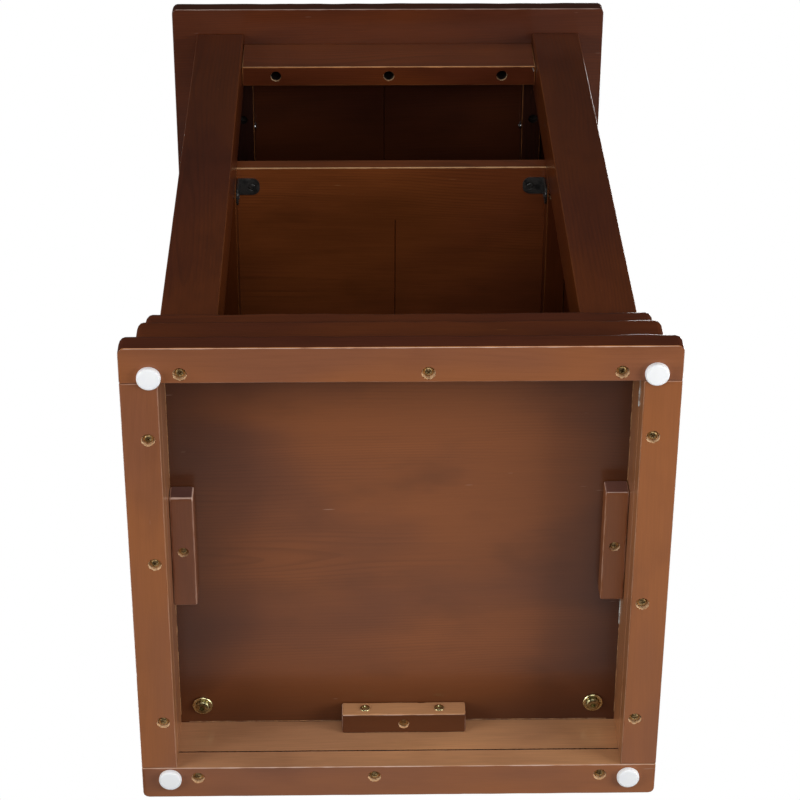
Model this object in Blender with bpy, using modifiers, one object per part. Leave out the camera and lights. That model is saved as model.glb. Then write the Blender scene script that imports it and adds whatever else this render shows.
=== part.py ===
"""Square pedestal cabinet in dark stained pine: stepped plinth, four posts, closed sides and back,
open front, one fixed shelf and an overhanging top.

Metres, +Z up. X runs across the open front, which faces -Y. The origin is on the ground under the
middle of the cabinet. Each wooden piece, bracket and fastener is its own object.
"""

from math import pi

import bmesh
import bpy
from mathutils import Vector

# Plinth: a flat ring of four boards, an apron of four boards on edge, and the floor board.
BASE_WIDTH = 0.4570
BASE_DEPTH = 0.4592
BASE_BOARD_THICK = 0.0233
BASE_END_BOARD_WIDTH = 0.0325
BASE_SIDE_BOARD_WIDTH = 0.0313
BASE_ROUND = 0.0055
APRON_INSET = 0.0113
APRON_THICK = 0.0200
APRON_HEIGHT = 0.0453
APRON_ROUND = 0.0055
FLOOR_INSET = 0.0165
FLOOR_THICK = 0.0234
FLOOR_ROUND = 0.0060
FLOOR_CLEAT_WIDE = 0.0205
FLOOR_CLEAT_TALL = 0.0192
FLOOR_CLEAT_LONG = 0.1120
FLOOR_CLEAT_SHIFT = {"left": 0.0, "right": -0.0030, "front": 0.0, "back": 0.0050}

# Body: posts, panels, the front rail and the top.
BODY_INSET_X = 0.0270
BODY_INSET_Y = 0.0260
POST_SIDE = 0.0487
POST_HEIGHT = 0.6337
SETBACK = 0.0116
PANEL_THICK = 0.0169
RAIL_THICK = 0.0210
RAIL_HEIGHT = 0.0615
TOP_OVERHANG_X = 0.0257
TOP_OVERHANG_Y = 0.0275
TOP_THICK = 0.0201
TOP_ROUND = 0.0050
TOP_CLEAT_WIDE = 0.0200
TOP_CLEAT_TALL = 0.0192
TOP_CLEAT_GAP = 0.0100

# Shelf, its cleats and its angle brackets.
SHELF_RISE = 0.4063
SHELF_THICK = 0.0175
SHELF_CLEAT_TALL = 0.0320
BRACKET_REACH = 0.0210
BRACKET_DROP = 0.0300
BRACKET_WIDTH = 0.0175
BRACKET_THICK = 0.0020
BRACKET_HOLE = 0.0055
BRACKET_BEHIND_EDGE = 0.0198

# Feet and fasteners.
GLIDE_RADIUS = 0.0100
GLIDE_HEIGHT = 0.0050
GLIDE_INSET = 0.0230
GLIDE_SHIFT = {
    "front_left": (0.0014, 0.0036),
    "front_right": (0.0016, 0.0020),
    "back_left": (0.0020, 0.0018),
    "back_right": (-0.0014, 0.0034),
}
GLIDE_NAIL_RADIUS = 0.0012
GLIDE_NAIL_LENGTH = 0.0140
SCREW_HEAD_RADIUS = 0.0043
SCREW_HEAD_HEIGHT = 0.0026
SCREW_SHANK_RADIUS = 0.0020
SCREW_BITE = 0.0240
COUNTERBORE_RADIUS = 0.0056
COUNTERBORE_DEPTH = 0.0045
BASE_SCREW_END = 0.0495
BASE_SCREW_SIDE_END = 0.0846
BASE_SCREW_OFFSET = 0.0220
BASE_SCREW_BACKWARD = {"front": 0.0028, "back": 0.0, "left": 0.0015, "right": 0.0012}
RAIL_BORE_RADIUS = 0.0054
RAIL_BORE_DEPTH = 0.0400
RAIL_BORE_FROM_POST = 0.0353
CLEAT_BORE_RADIUS = 0.0048
CLEAT_BORE_DEPTH = 0.0080
CLEAT_BORE_FROM_EDGE = 0.0080
SHELF_BORE_RADIUS = 0.0034
SHELF_BORE_DEPTH = 0.0140
SHELF_BORE_FROM_EDGE = 0.0046
BOLT_HEAD_RADIUS = 0.0065
BOLT_HEAD_HEIGHT = 0.0052
BOLT_SHANK_RADIUS = 0.0040
BOLT_BITE = 0.0400
WASHER_RADIUS = 0.0090
WASHER_THICK = 0.0018
CLEAT_SCREW_BEHIND_POST = 0.0530

# Fits.
GAP = 0.0003
HOLE_CLEARANCE = 0.0004
ARRIS = 0.0008
CLEAT_ARRIS = 0.0018
POST_ARRIS = 0.0014
ROUND_SEGMENTS = 4
TURN_STEPS = 12
CUT_PAST = 0.0010

# Heights, counted up from the ground.
BASE_Z = GLIDE_HEIGHT
APRON_Z = BASE_Z + BASE_BOARD_THICK
FLOOR_Z = APRON_Z + APRON_HEIGHT
POST_Z = FLOOR_Z + FLOOR_THICK
TOP_Z = POST_Z + POST_HEIGHT
SHELF_Z = POST_Z + SHELF_RISE

# Planes, counted out from the middle.
POST_OUT_X = BASE_WIDTH / 2 - BODY_INSET_X
POST_OUT_Y = BASE_DEPTH / 2 - BODY_INSET_Y
TOP_OUT_X = POST_OUT_X + TOP_OVERHANG_X
TOP_OUT_Y = POST_OUT_Y + TOP_OVERHANG_Y
POST_IN_X = POST_OUT_X - POST_SIDE
POST_IN_Y = POST_OUT_Y - POST_SIDE
PANEL_OUT_X = POST_OUT_X - SETBACK
PANEL_OUT_Y = POST_OUT_Y - SETBACK
PANEL_IN_X = PANEL_OUT_X - PANEL_THICK
PANEL_IN_Y = PANEL_OUT_Y - PANEL_THICK
APRON_OUT_X = BASE_WIDTH / 2 - APRON_INSET
APRON_OUT_Y = BASE_DEPTH / 2 - APRON_INSET
APRON_IN_X = APRON_OUT_X - APRON_THICK
APRON_IN_Y = APRON_OUT_Y - APRON_THICK
TOP_CLEAT_OUT_X = PANEL_IN_X - TOP_CLEAT_GAP
TOP_CLEAT_IN_X = TOP_CLEAT_OUT_X - TOP_CLEAT_WIDE

SIDES = (("left", -1), ("right", 1))
ENDS = (("front", -1), ("back", 1))


def clear_scene():
    for obj in list(bpy.data.objects):
        bpy.data.objects.remove(obj, do_unlink=True)


def new_collection(name):
    collection = bpy.data.collections.new(name)
    bpy.context.scene.collection.children.link(collection)
    return collection


def make_material(name, colour, roughness, metallic):
    material = bpy.data.materials.new(name)
    material.use_nodes = True
    shader = material.node_tree.nodes["Principled BSDF"]
    shader.inputs["Base Color"].default_value = (*colour, 1.0)
    shader.inputs["Roughness"].default_value = roughness
    shader.inputs["Metallic"].default_value = metallic
    return material


def add_object(name, mesh, collection, material=None):
    obj = bpy.data.objects.new(name, mesh)
    collection.objects.link(obj)
    if material and not mesh.materials:
        mesh.materials.append(material)
    return obj


def finish_mesh(name, bm):
    bmesh.ops.recalc_face_normals(bm, faces=bm.faces)
    mesh = bpy.data.meshes.new(name)
    bm.to_mesh(mesh)
    bm.free()
    return mesh


def box_mesh(name, size, round_test=None, radius=0.0):
    """A box about its own centre. round_test(middle) picks the edges that get a round-over."""
    bm = bmesh.new()
    bmesh.ops.create_cube(bm, size=1.0)
    bmesh.ops.scale(bm, vec=size, verts=bm.verts)
    if round_test:
        picked = []
        for edge in bm.edges:
            middle = (edge.verts[0].co + edge.verts[1].co) / 2
            if round_test(middle):
                picked.append(edge)
        bmesh.ops.bevel(
            bm, geom=picked, offset=radius, segments=ROUND_SEGMENTS, profile=0.5, affect="EDGES"
        )
    return finish_mesh(name, bm)


def board(name, low, high, material, round_test=None, radius=0.0, arris=ARRIS):
    """A wooden piece between two corners, with eased edges."""
    low, high = Vector(low), Vector(high)
    obj = add_object(name, box_mesh(name, high - low, round_test, radius), PARTS, material)
    obj.location = (low + high) / 2
    if arris:
        ease = obj.modifiers.new("Eased edges", "BEVEL")
        ease.width = arris
        ease.segments = 1
        ease.limit_method = "ANGLE"
        ease.angle_limit = pi / 4
    return obj


def turned(name, profile, collection, material=None, steps=TURN_STEPS):
    """A body of revolution about +Z from (radius, height) pairs, listed from the top down."""
    bm = bmesh.new()
    verts = [bm.verts.new((radius, 0.0, height)) for radius, height in profile]
    for upper, lower in zip(verts, verts[1:]):
        bm.edges.new((upper, lower))
    mesh = bpy.data.meshes.new(name)
    bm.to_mesh(mesh)
    bm.free()
    obj = add_object(name, mesh, collection, material)
    turn = obj.modifiers.new("Turn", "SCREW")
    turn.axis = "Z"
    turn.steps = steps
    turn.render_steps = steps
    turn.use_merge_vertices = True
    turn.merge_threshold = 0.00001
    return obj


def cutter(name, profile, location, rotation=(0.0, 0.0, 0.0)):
    obj = turned(name, profile, CUTTERS)
    obj.location = location
    obj.rotation_euler = rotation
    obj.hide_render = True
    obj.display_type = "WIRE"
    return obj


def cut(obj, tool):
    drill = obj.modifiers.new("Hole", "BOOLEAN")
    drill.operation = "DIFFERENCE"
    drill.solver = "EXACT"
    drill.object = tool


def bore_profile(bore_radius, bore_depth, pilot_radius, pilot_depth):
    """A counterbore that opens at height 0 and goes up, with a pilot hole above it."""
    return (
        (0.0, pilot_depth),
        (pilot_radius, pilot_depth),
        (pilot_radius, bore_depth),
        (bore_radius, bore_depth),
        (bore_radius, -CUT_PAST),
        (0.0, -CUT_PAST),
    )


def outer_edges(half_z, *faces):
    """Test for a board's edges: the top edges of its outward faces, and the corners between them.

    Each face is (axis, sign, distance from the board's middle).
    """

    def test(middle):
        met = sum(middle[axis] * sign > distance * 0.98 for axis, sign, distance in faces)
        return met > 1 or (met == 1 and middle.z > half_z * 0.98)

    return test


def all_round(half_x, half_y):
    return (0, 1, half_x), (0, -1, half_x), (1, 1, half_y), (1, -1, half_y)


def ring_of_boards(prefix, low_z, high_z, outer, inner, radius):
    """Four boards in a square: front and back at full width, the sides between them."""
    ring = {}
    half_z = (high_z - low_z) / 2
    for name, sign in ENDS:
        ys = sorted((sign * inner[1], sign * outer[1]))
        front_face = (1, sign, (ys[1] - ys[0]) / 2)
        edges = outer_edges(half_z, front_face, (0, 1, outer[0]), (0, -1, outer[0]))
        low, high = (-outer[0], ys[0], low_z), (outer[0], ys[1], high_z)
        ring[name] = board(f"{prefix}_{name}", low, high, WOOD, edges, radius)
    for name, sign in SIDES:
        xs = sorted((sign * inner[0], sign * outer[0]))
        edges = outer_edges(half_z, (0, sign, (xs[1] - xs[0]) / 2))
        low, high = (xs[0], -inner[1] + GAP, low_z), (xs[1], inner[1] - GAP, high_z)
        ring[name] = board(f"{prefix}_{name}", low, high, WOOD, edges, radius)
    return ring


def build_plinth():
    half_x, half_y = BASE_WIDTH / 2, BASE_DEPTH / 2
    inner = (half_x - BASE_SIDE_BOARD_WIDTH, half_y - BASE_END_BOARD_WIDTH)
    boards = ring_of_boards(
        "base_board", BASE_Z, APRON_Z - GAP, (half_x, half_y), inner, BASE_ROUND
    )
    aprons = ring_of_boards(
        "apron",
        APRON_Z,
        FLOOR_Z - GAP,
        (APRON_OUT_X, APRON_OUT_Y),
        (APRON_IN_X, APRON_IN_Y),
        APRON_ROUND,
    )
    return boards, aprons


def build_floor():
    half_x = BASE_WIDTH / 2 - FLOOR_INSET
    half_y = BASE_DEPTH / 2 - FLOOR_INSET
    half_z = (POST_Z - GAP - FLOOR_Z) / 2
    floor_board = board(
        "floor_board",
        (-half_x, -half_y, FLOOR_Z),
        (half_x, half_y, POST_Z - GAP),
        DARK_WOOD,
        outer_edges(half_z, *all_round(half_x, half_y)),
        FLOOR_ROUND,
    )
    top = FLOOR_Z - GAP
    bottom = top - FLOOR_CLEAT_TALL
    half_long = FLOOR_CLEAT_LONG / 2
    for name, sign in SIDES:
        xs = sorted((sign * (APRON_IN_X - GAP), sign * (APRON_IN_X - GAP - FLOOR_CLEAT_WIDE)))
        middle = FLOOR_CLEAT_SHIFT[name]
        board(
            f"floor_cleat_{name}",
            (xs[0], middle - half_long, bottom),
            (xs[1], middle + half_long, top),
            DARK_WOOD,
            arris=CLEAT_ARRIS,
        )
    for name, sign in ENDS:
        ys = sorted((sign * (APRON_IN_Y - GAP), sign * (APRON_IN_Y - GAP - FLOOR_CLEAT_WIDE)))
        middle = FLOOR_CLEAT_SHIFT[name]
        board(
            f"floor_cleat_{name}",
            (middle - half_long, ys[0], bottom),
            (middle + half_long, ys[1], top),
            DARK_WOOD,
            arris=CLEAT_ARRIS,
        )
    return floor_board


def build_base_screws(boards, aprons):
    """Three counterbored screws up through each base board into the apron above it."""
    end_x = BASE_WIDTH / 2 - BASE_SCREW_END
    side_y = BASE_DEPTH / 2 - BASE_SCREW_SIDE_END
    line_x = BASE_WIDTH / 2 - APRON_INSET - APRON_THICK / 2
    line_y = BASE_DEPTH / 2 - APRON_INSET - APRON_THICK / 2
    turn = BASE_SCREW_OFFSET
    places = {
        "front": [(x, -line_y) for x in (-end_x, turn, end_x)],
        "back": [(x, line_y) for x in (-end_x, -turn, end_x)],
        "left": [(-line_x, y) for y in (-side_y, -turn, side_y)],
        "right": [(line_x, y) for y in (-side_y, turn, side_y)],
    }
    head_bottom = COUNTERBORE_DEPTH - GAP - SCREW_HEAD_HEIGHT
    tip = BASE_BOARD_THICK + SCREW_BITE
    screw_profile = (
        (0.0, tip),
        (SCREW_SHANK_RADIUS, tip - 2 * SCREW_SHANK_RADIUS),
        (SCREW_SHANK_RADIUS, COUNTERBORE_DEPTH - GAP),
        (SCREW_HEAD_RADIUS, COUNTERBORE_DEPTH - GAP),
        (SCREW_HEAD_RADIUS, head_bottom + SCREW_HEAD_HEIGHT / 2),
        (SCREW_HEAD_RADIUS * 0.7, head_bottom),
        (0.0, head_bottom),
    )
    bore = bore_profile(
        COUNTERBORE_RADIUS,
        COUNTERBORE_DEPTH,
        SCREW_SHANK_RADIUS + HOLE_CLEARANCE,
        tip + HOLE_CLEARANCE,
    )
    count = 0
    for name, spots in places.items():
        for x, nominal_y in spots:
            count += 1
            y = nominal_y + BASE_SCREW_BACKWARD[name]
            tool = cutter(f"cut_base_screw_{count:02d}", bore, (x, y, BASE_Z))
            cut(boards[name], tool)
            cut(aprons[name], tool)
            screw = turned(f"base_screw_{count:02d}", screw_profile, PARTS, BRASS)
            screw.location = (x, y, BASE_Z)


def build_glides(boards):
    nail_top = GLIDE_HEIGHT + GLIDE_NAIL_LENGTH
    glide_profile = (
        (0.0, nail_top),
        (GLIDE_NAIL_RADIUS, nail_top - 2 * GLIDE_NAIL_RADIUS),
        (GLIDE_NAIL_RADIUS, GLIDE_HEIGHT - GAP),
        (GLIDE_RADIUS, GLIDE_HEIGHT - GAP),
        (GLIDE_RADIUS, GLIDE_HEIGHT * 0.45),
        (GLIDE_RADIUS * 0.93, GLIDE_HEIGHT * 0.16),
        (GLIDE_RADIUS * 0.80, 0.0),
        (0.0, 0.0),
    )
    nail_hole = (
        (0.0, nail_top + HOLE_CLEARANCE),
        (GLIDE_NAIL_RADIUS + HOLE_CLEARANCE, nail_top + HOLE_CLEARANCE),
        (GLIDE_NAIL_RADIUS + HOLE_CLEARANCE, GLIDE_HEIGHT - CUT_PAST),
        (0.0, GLIDE_HEIGHT - CUT_PAST),
    )
    for end, sign_y in ENDS:
        for side, sign_x in SIDES:
            shift_x, shift_y = GLIDE_SHIFT[f"{end}_{side}"]
            place = (
                sign_x * (BASE_WIDTH / 2 - GLIDE_INSET) + shift_x,
                sign_y * (BASE_DEPTH / 2 - GLIDE_INSET) + shift_y,
                0.0,
            )
            glide = turned(f"glide_{end}_{side}", glide_profile, PARTS, PLASTIC, 20)
            glide.location = place
            cut(boards[end], cutter(f"cut_glide_{end}_{side}", nail_hole, place))


def build_posts(floor_board):
    """Four posts, each held by a bolt and washer from under the floor board."""
    bolt_seat = -GAP - WASHER_THICK - GAP
    tip = FLOOR_THICK + BOLT_BITE
    bolt_profile = (
        (0.0, tip),
        (BOLT_SHANK_RADIUS, tip - BOLT_SHANK_RADIUS),
        (BOLT_SHANK_RADIUS, bolt_seat),
        (BOLT_HEAD_RADIUS, bolt_seat),
        (BOLT_HEAD_RADIUS, bolt_seat - BOLT_HEAD_HEIGHT * 0.75),
        (BOLT_HEAD_RADIUS * 0.8, bolt_seat - BOLT_HEAD_HEIGHT),
        (0.0, bolt_seat - BOLT_HEAD_HEIGHT),
    )
    hole_radius = BOLT_SHANK_RADIUS + HOLE_CLEARANCE
    bolt_hole = (
        (0.0, tip + HOLE_CLEARANCE),
        (hole_radius, tip + HOLE_CLEARANCE),
        (hole_radius, -CUT_PAST),
        (0.0, -CUT_PAST),
    )
    washer_profile = (
        (hole_radius, -GAP),
        (WASHER_RADIUS, -GAP),
        (WASHER_RADIUS, -GAP - WASHER_THICK),
        (hole_radius, -GAP - WASHER_THICK),
        (hole_radius, -GAP),
    )
    for end, sign_y in ENDS:
        for side, sign_x in SIDES:
            xs = sorted((sign_x * POST_IN_X, sign_x * POST_OUT_X))
            ys = sorted((sign_y * POST_IN_Y, sign_y * POST_OUT_Y))
            post = board(
                f"post_{end}_{side}",
                (xs[0], ys[0], POST_Z),
                (xs[1], ys[1], TOP_Z - GAP),
                WOOD,
                arris=POST_ARRIS,
            )
            place = (sum(xs) / 2, sum(ys) / 2, FLOOR_Z)
            tool = cutter(f"cut_bolt_{end}_{side}", bolt_hole, place)
            cut(floor_board, tool)
            cut(post, tool)
            bolt = turned(f"post_bolt_{end}_{side}", bolt_profile, PARTS, ZINC)
            bolt.location = place
            washer = turned(f"post_washer_{end}_{side}", washer_profile, PARTS, ZINC, 20)
            washer.location = place


def build_panels():
    """Closed sides and back, set in from the outer faces of the posts."""
    bottom, top = POST_Z, TOP_Z - GAP
    panels = {}
    for name, sign in SIDES:
        xs = sorted((sign * PANEL_IN_X, sign * PANEL_OUT_X))
        panels[name] = board(
            f"side_panel_{name}",
            (xs[0], -POST_IN_Y + GAP, bottom),
            (xs[1], POST_IN_Y - GAP, top),
            DARK_WOOD,
        )
    board(
        "back_panel",
        (-POST_IN_X + GAP, PANEL_IN_Y, bottom),
        (POST_IN_X - GAP, PANEL_OUT_Y, top),
        DARK_WOOD,
    )
    return panels


def build_top(panels):
    """The slab, the front rail under it and the cleats that hold it."""
    board(
        "top_slab",
        (-TOP_OUT_X, -TOP_OUT_Y, TOP_Z),
        (TOP_OUT_X, TOP_OUT_Y, TOP_Z + TOP_THICK),
        WOOD,
        outer_edges(TOP_THICK / 2, *all_round(TOP_OUT_X, TOP_OUT_Y)),
        TOP_ROUND,
    )
    under = TOP_Z - GAP
    rail_y = -(POST_OUT_Y - SETBACK)
    rail = board(
        "front_rail",
        (-POST_IN_X + GAP, rail_y, under - RAIL_HEIGHT),
        (POST_IN_X - GAP, rail_y + RAIL_THICK, under),
        WOOD,
    )
    pilot = SCREW_SHANK_RADIUS + HOLE_CLEARANCE
    rail_bore = bore_profile(RAIL_BORE_RADIUS, RAIL_BORE_DEPTH, pilot, RAIL_HEIGHT + CUT_PAST)
    for number in range(3):
        x = (number - 1) * (POST_IN_X - RAIL_BORE_FROM_POST)
        place = (x, rail_y + RAIL_THICK / 2, under - RAIL_HEIGHT)
        cut(rail, cutter(f"cut_rail_{number + 1}", rail_bore, place))

    cleat_bottom = under - TOP_CLEAT_TALL
    back_y = PANEL_IN_Y - GAP
    cleat_bore = bore_profile(CLEAT_BORE_RADIUS, CLEAT_BORE_DEPTH, pilot, TOP_CLEAT_TALL + CUT_PAST)
    screw_y = -POST_IN_Y + CLEAT_SCREW_BEHIND_POST
    bore_y = screw_y - 2 * CLEAT_BORE_RADIUS - SCREW_SHANK_RADIUS
    reach = TOP_CLEAT_WIDE + TOP_CLEAT_GAP
    tip = reach + PANEL_THICK / 2
    cross_hole = ((0.0, tip), (pilot, tip), (pilot, -CUT_PAST), (0.0, -CUT_PAST))
    cross_screw = (
        (0.0, tip - HOLE_CLEARANCE),
        (SCREW_SHANK_RADIUS, tip - 2 * SCREW_SHANK_RADIUS),
        (SCREW_SHANK_RADIUS, -GAP),
        (SCREW_HEAD_RADIUS, -GAP),
        (SCREW_HEAD_RADIUS, -GAP - SCREW_HEAD_HEIGHT * 0.4),
        (SCREW_HEAD_RADIUS * 0.6, -GAP - SCREW_HEAD_HEIGHT),
        (0.0, -GAP - SCREW_HEAD_HEIGHT),
    )
    for name, sign in SIDES:
        xs = sorted((sign * TOP_CLEAT_IN_X, sign * TOP_CLEAT_OUT_X))
        cleat = board(
            f"top_cleat_{name}",
            (xs[0], -POST_IN_Y + GAP, cleat_bottom),
            (xs[1], POST_IN_Y - GAP, under),
            DARK_WOOD,
        )
        x = sign * (TOP_CLEAT_OUT_X - CLEAT_BORE_FROM_EDGE)
        for row, y in enumerate((bore_y, -bore_y)):
            tool = cutter(f"cut_top_cleat_{name}_{row + 1}", cleat_bore, (x, y, cleat_bottom))
            cut(cleat, tool)
        place = (sign * TOP_CLEAT_IN_X, screw_y, under - TOP_CLEAT_TALL / 2)
        outward = (0.0, sign * pi / 2, 0.0)
        tool = cutter(f"cut_cleat_screw_{name}", cross_hole, place, outward)
        cut(cleat, tool)
        cut(panels[name], tool)
        screw = turned(f"top_cleat_screw_{name}", cross_screw, PARTS, STEEL)
        screw.location = place
        screw.rotation_euler = outward
    board(
        "top_cleat_back",
        (-TOP_CLEAT_IN_X + GAP, back_y - TOP_CLEAT_WIDE, cleat_bottom),
        (TOP_CLEAT_IN_X - GAP, back_y, under),
        DARK_WOOD,
    )


def shelf_outline():
    """Corners of the shelf, notched round the two back posts."""
    wide, narrow = PANEL_IN_X - GAP, POST_IN_X - GAP
    front, notch, back = -POST_IN_Y + GAP, POST_IN_Y - GAP, PANEL_IN_Y - GAP
    return (
        (-wide, front),
        (wide, front),
        (wide, notch),
        (narrow, notch),
        (narrow, back),
        (-narrow, back),
        (-narrow, notch),
        (-wide, notch),
    )


def build_shelf():
    curve = bpy.data.curves.new("shelf", "CURVE")
    curve.dimensions = "2D"
    curve.fill_mode = "BOTH"
    curve.extrude = SHELF_THICK / 2
    outline = shelf_outline()
    spline = curve.splines.new("POLY")
    spline.points.add(len(outline) - 1)
    for point, (x, y) in zip(spline.points, outline):
        point.co = (x, y, 0.0, 1.0)
    spline.use_cyclic_u = True
    shelf = add_object("shelf", curve, PARTS, WOOD)
    shelf.location = (0.0, 0.0, SHELF_Z + SHELF_THICK / 2)

    top = SHELF_Z - GAP
    bottom = top - SHELF_CLEAT_TALL
    bore = bore_profile(
        SHELF_BORE_RADIUS,
        SHELF_BORE_DEPTH,
        SCREW_SHANK_RADIUS + HOLE_CLEARANCE,
        SHELF_CLEAT_TALL + CUT_PAST,
    )
    bore_y = POST_IN_Y - BRACKET_BEHIND_EDGE - BRACKET_WIDTH / 2 + SHELF_BORE_RADIUS
    for name, sign in SIDES:
        xs = sorted((sign * POST_IN_X, sign * (PANEL_IN_X - GAP)))
        cleat = board(
            f"shelf_cleat_{name}",
            (xs[0], -POST_IN_Y + GAP, bottom),
            (xs[1], POST_IN_Y - GAP, top),
            DARK_WOOD,
        )
        x = sign * (POST_IN_X + SHELF_BORE_FROM_EDGE)
        for row, y in enumerate((-bore_y, bore_y)):
            tool = cutter(f"cut_shelf_cleat_{name}_{row + 1}", bore, (x, y, bottom))
            cut(cleat, tool)
    board(
        "shelf_cleat_back",
        (-POST_IN_X + GAP, POST_IN_Y, bottom),
        (POST_IN_X - GAP, PANEL_IN_Y - GAP, top),
        DARK_WOOD,
    )


def bracket_mesh():
    """An angle bracket: one leg under the shelf towards +X, one leg down the cleat at X = 0."""
    bm = bmesh.new()
    made = bmesh.ops.create_cube(bm, size=1.0)
    leg = (BRACKET_REACH, BRACKET_WIDTH, BRACKET_THICK)
    bmesh.ops.scale(bm, vec=leg, verts=made["verts"])
    bmesh.ops.translate(bm, vec=(leg[0] / 2, 0.0, -leg[2] / 2), verts=made["verts"])
    tip_edges = []
    for edge in bm.edges:
        ends = [v.co for v in edge.verts]
        if all(e.x > leg[0] * 0.9 for e in ends) and abs(ends[0].z - ends[1].z) > leg[2] / 2:
            tip_edges.append(edge)
    bmesh.ops.bevel(
        bm, geom=tip_edges, offset=BRACKET_WIDTH * 0.42, segments=4, profile=0.5, affect="EDGES"
    )
    flat_leg = add_object("bracket_flat_leg", finish_mesh("bracket_flat_leg", bm), CUTTERS)

    upright = box_mesh("bracket_upright", (BRACKET_THICK, BRACKET_WIDTH, BRACKET_DROP))
    down_leg = add_object("bracket_down_leg", upright, CUTTERS)
    down_leg.location = (BRACKET_THICK / 2, 0.0, -BRACKET_DROP / 2)
    weld = flat_leg.modifiers.new("Join", "BOOLEAN")
    weld.operation = "UNION"
    weld.solver = "EXACT"
    weld.object = down_leg

    depth = BRACKET_THICK + CUT_PAST
    radius = BRACKET_HOLE / 2
    hole = ((0.0, CUT_PAST), (radius, CUT_PAST), (radius, -depth), (0.0, -depth))
    hole_x = BRACKET_REACH - BRACKET_WIDTH * 0.42
    cut(flat_leg, cutter("cut_bracket_flat", hole, (hole_x, 0.0, 0.0)))
    low = (0.0, 0.0, -BRACKET_DROP * 0.65)
    across = ((0.0, depth), (radius, depth), (radius, -CUT_PAST), (0.0, -CUT_PAST))
    cut(flat_leg, cutter("cut_bracket_down", across, low, (0.0, pi / 2, 0.0)))
    for helper in (flat_leg, down_leg):
        helper.hide_render = True
        helper.display_type = "WIRE"
    bpy.context.view_layer.update()
    graph = bpy.context.evaluated_depsgraph_get()
    mesh = bpy.data.meshes.new_from_object(flat_leg.evaluated_get(graph))
    mesh.name = "angle_bracket"
    return mesh


def build_brackets():
    mesh = bracket_mesh()
    mesh.materials.append(BLACK_STEEL)
    offset_y = POST_IN_Y - BRACKET_BEHIND_EDGE
    for end, sign_y in ENDS:
        for side, sign_x in SIDES:
            bracket = add_object(f"bracket_{end}_{side}", mesh, PARTS)
            bracket.location = (sign_x * (POST_IN_X - GAP), sign_y * offset_y, SHELF_Z - GAP)
            bracket.rotation_euler = (0.0, 0.0, 0.0 if sign_x < 0 else pi)


clear_scene()
PARTS = new_collection("pedestal_cabinet")
CUTTERS = new_collection("cutters")
WOOD = make_material("dark_stained_pine", (0.105, 0.034, 0.014), 0.38, 0.0)
DARK_WOOD = make_material("inner_stained_pine", (0.060, 0.019, 0.010), 0.50, 0.0)
PLASTIC = make_material("white_glide_plastic", (0.80, 0.80, 0.76), 0.40, 0.0)
BRASS = make_material("brass_plated_steel", (0.42, 0.30, 0.13), 0.35, 1.0)
ZINC = make_material("yellow_zinc", (0.62, 0.55, 0.38), 0.38, 1.0)
STEEL = make_material("bright_steel", (0.70, 0.70, 0.70), 0.25, 1.0)
BLACK_STEEL = make_material("black_painted_steel", (0.020, 0.020, 0.020), 0.45, 0.6)

plinth_boards, plinth_aprons = build_plinth()
cabinet_floor = build_floor()
build_base_screws(plinth_boards, plinth_aprons)
build_glides(plinth_boards)
build_posts(cabinet_floor)
side_panels = build_panels()
build_top(side_panels)
build_shelf()
build_brackets()
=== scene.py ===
"""Looks of the pedestal cabinet: stained and lacquered pine boards, their fasteners, glides and glue.

Metres, +Z up, in the cabinet's own frame. The open front faces -Y.
"""

from math import cos, pi, sin, sqrt
from random import Random

import bmesh
import bpy
from mathutils import Matrix, Vector, noise


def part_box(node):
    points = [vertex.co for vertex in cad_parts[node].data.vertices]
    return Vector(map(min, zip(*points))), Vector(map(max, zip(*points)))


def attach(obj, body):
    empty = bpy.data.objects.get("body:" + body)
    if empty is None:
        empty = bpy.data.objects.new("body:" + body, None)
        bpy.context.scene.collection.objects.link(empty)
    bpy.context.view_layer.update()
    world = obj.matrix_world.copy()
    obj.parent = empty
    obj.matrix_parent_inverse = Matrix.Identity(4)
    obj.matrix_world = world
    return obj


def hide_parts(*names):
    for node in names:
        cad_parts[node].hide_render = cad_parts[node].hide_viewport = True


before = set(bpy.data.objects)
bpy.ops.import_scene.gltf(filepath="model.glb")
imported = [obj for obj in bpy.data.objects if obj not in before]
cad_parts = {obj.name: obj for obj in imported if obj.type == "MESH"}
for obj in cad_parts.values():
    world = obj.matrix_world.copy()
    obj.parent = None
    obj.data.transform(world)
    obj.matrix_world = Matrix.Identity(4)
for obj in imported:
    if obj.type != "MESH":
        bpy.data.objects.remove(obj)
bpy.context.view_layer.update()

MM = 0.001
AXES = "xyz"
X, Y, Z = range(3)
UP, BACK = Vector((0, 0, 1)), Vector((0, 1, 0))
SIDES = (("left", -1), ("right", 1))
ENDS = ("front", "back")
ROOT = "root"
SHARP_ANGLE = 0.6


# ---------------------------------------------------------------- node trees


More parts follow.
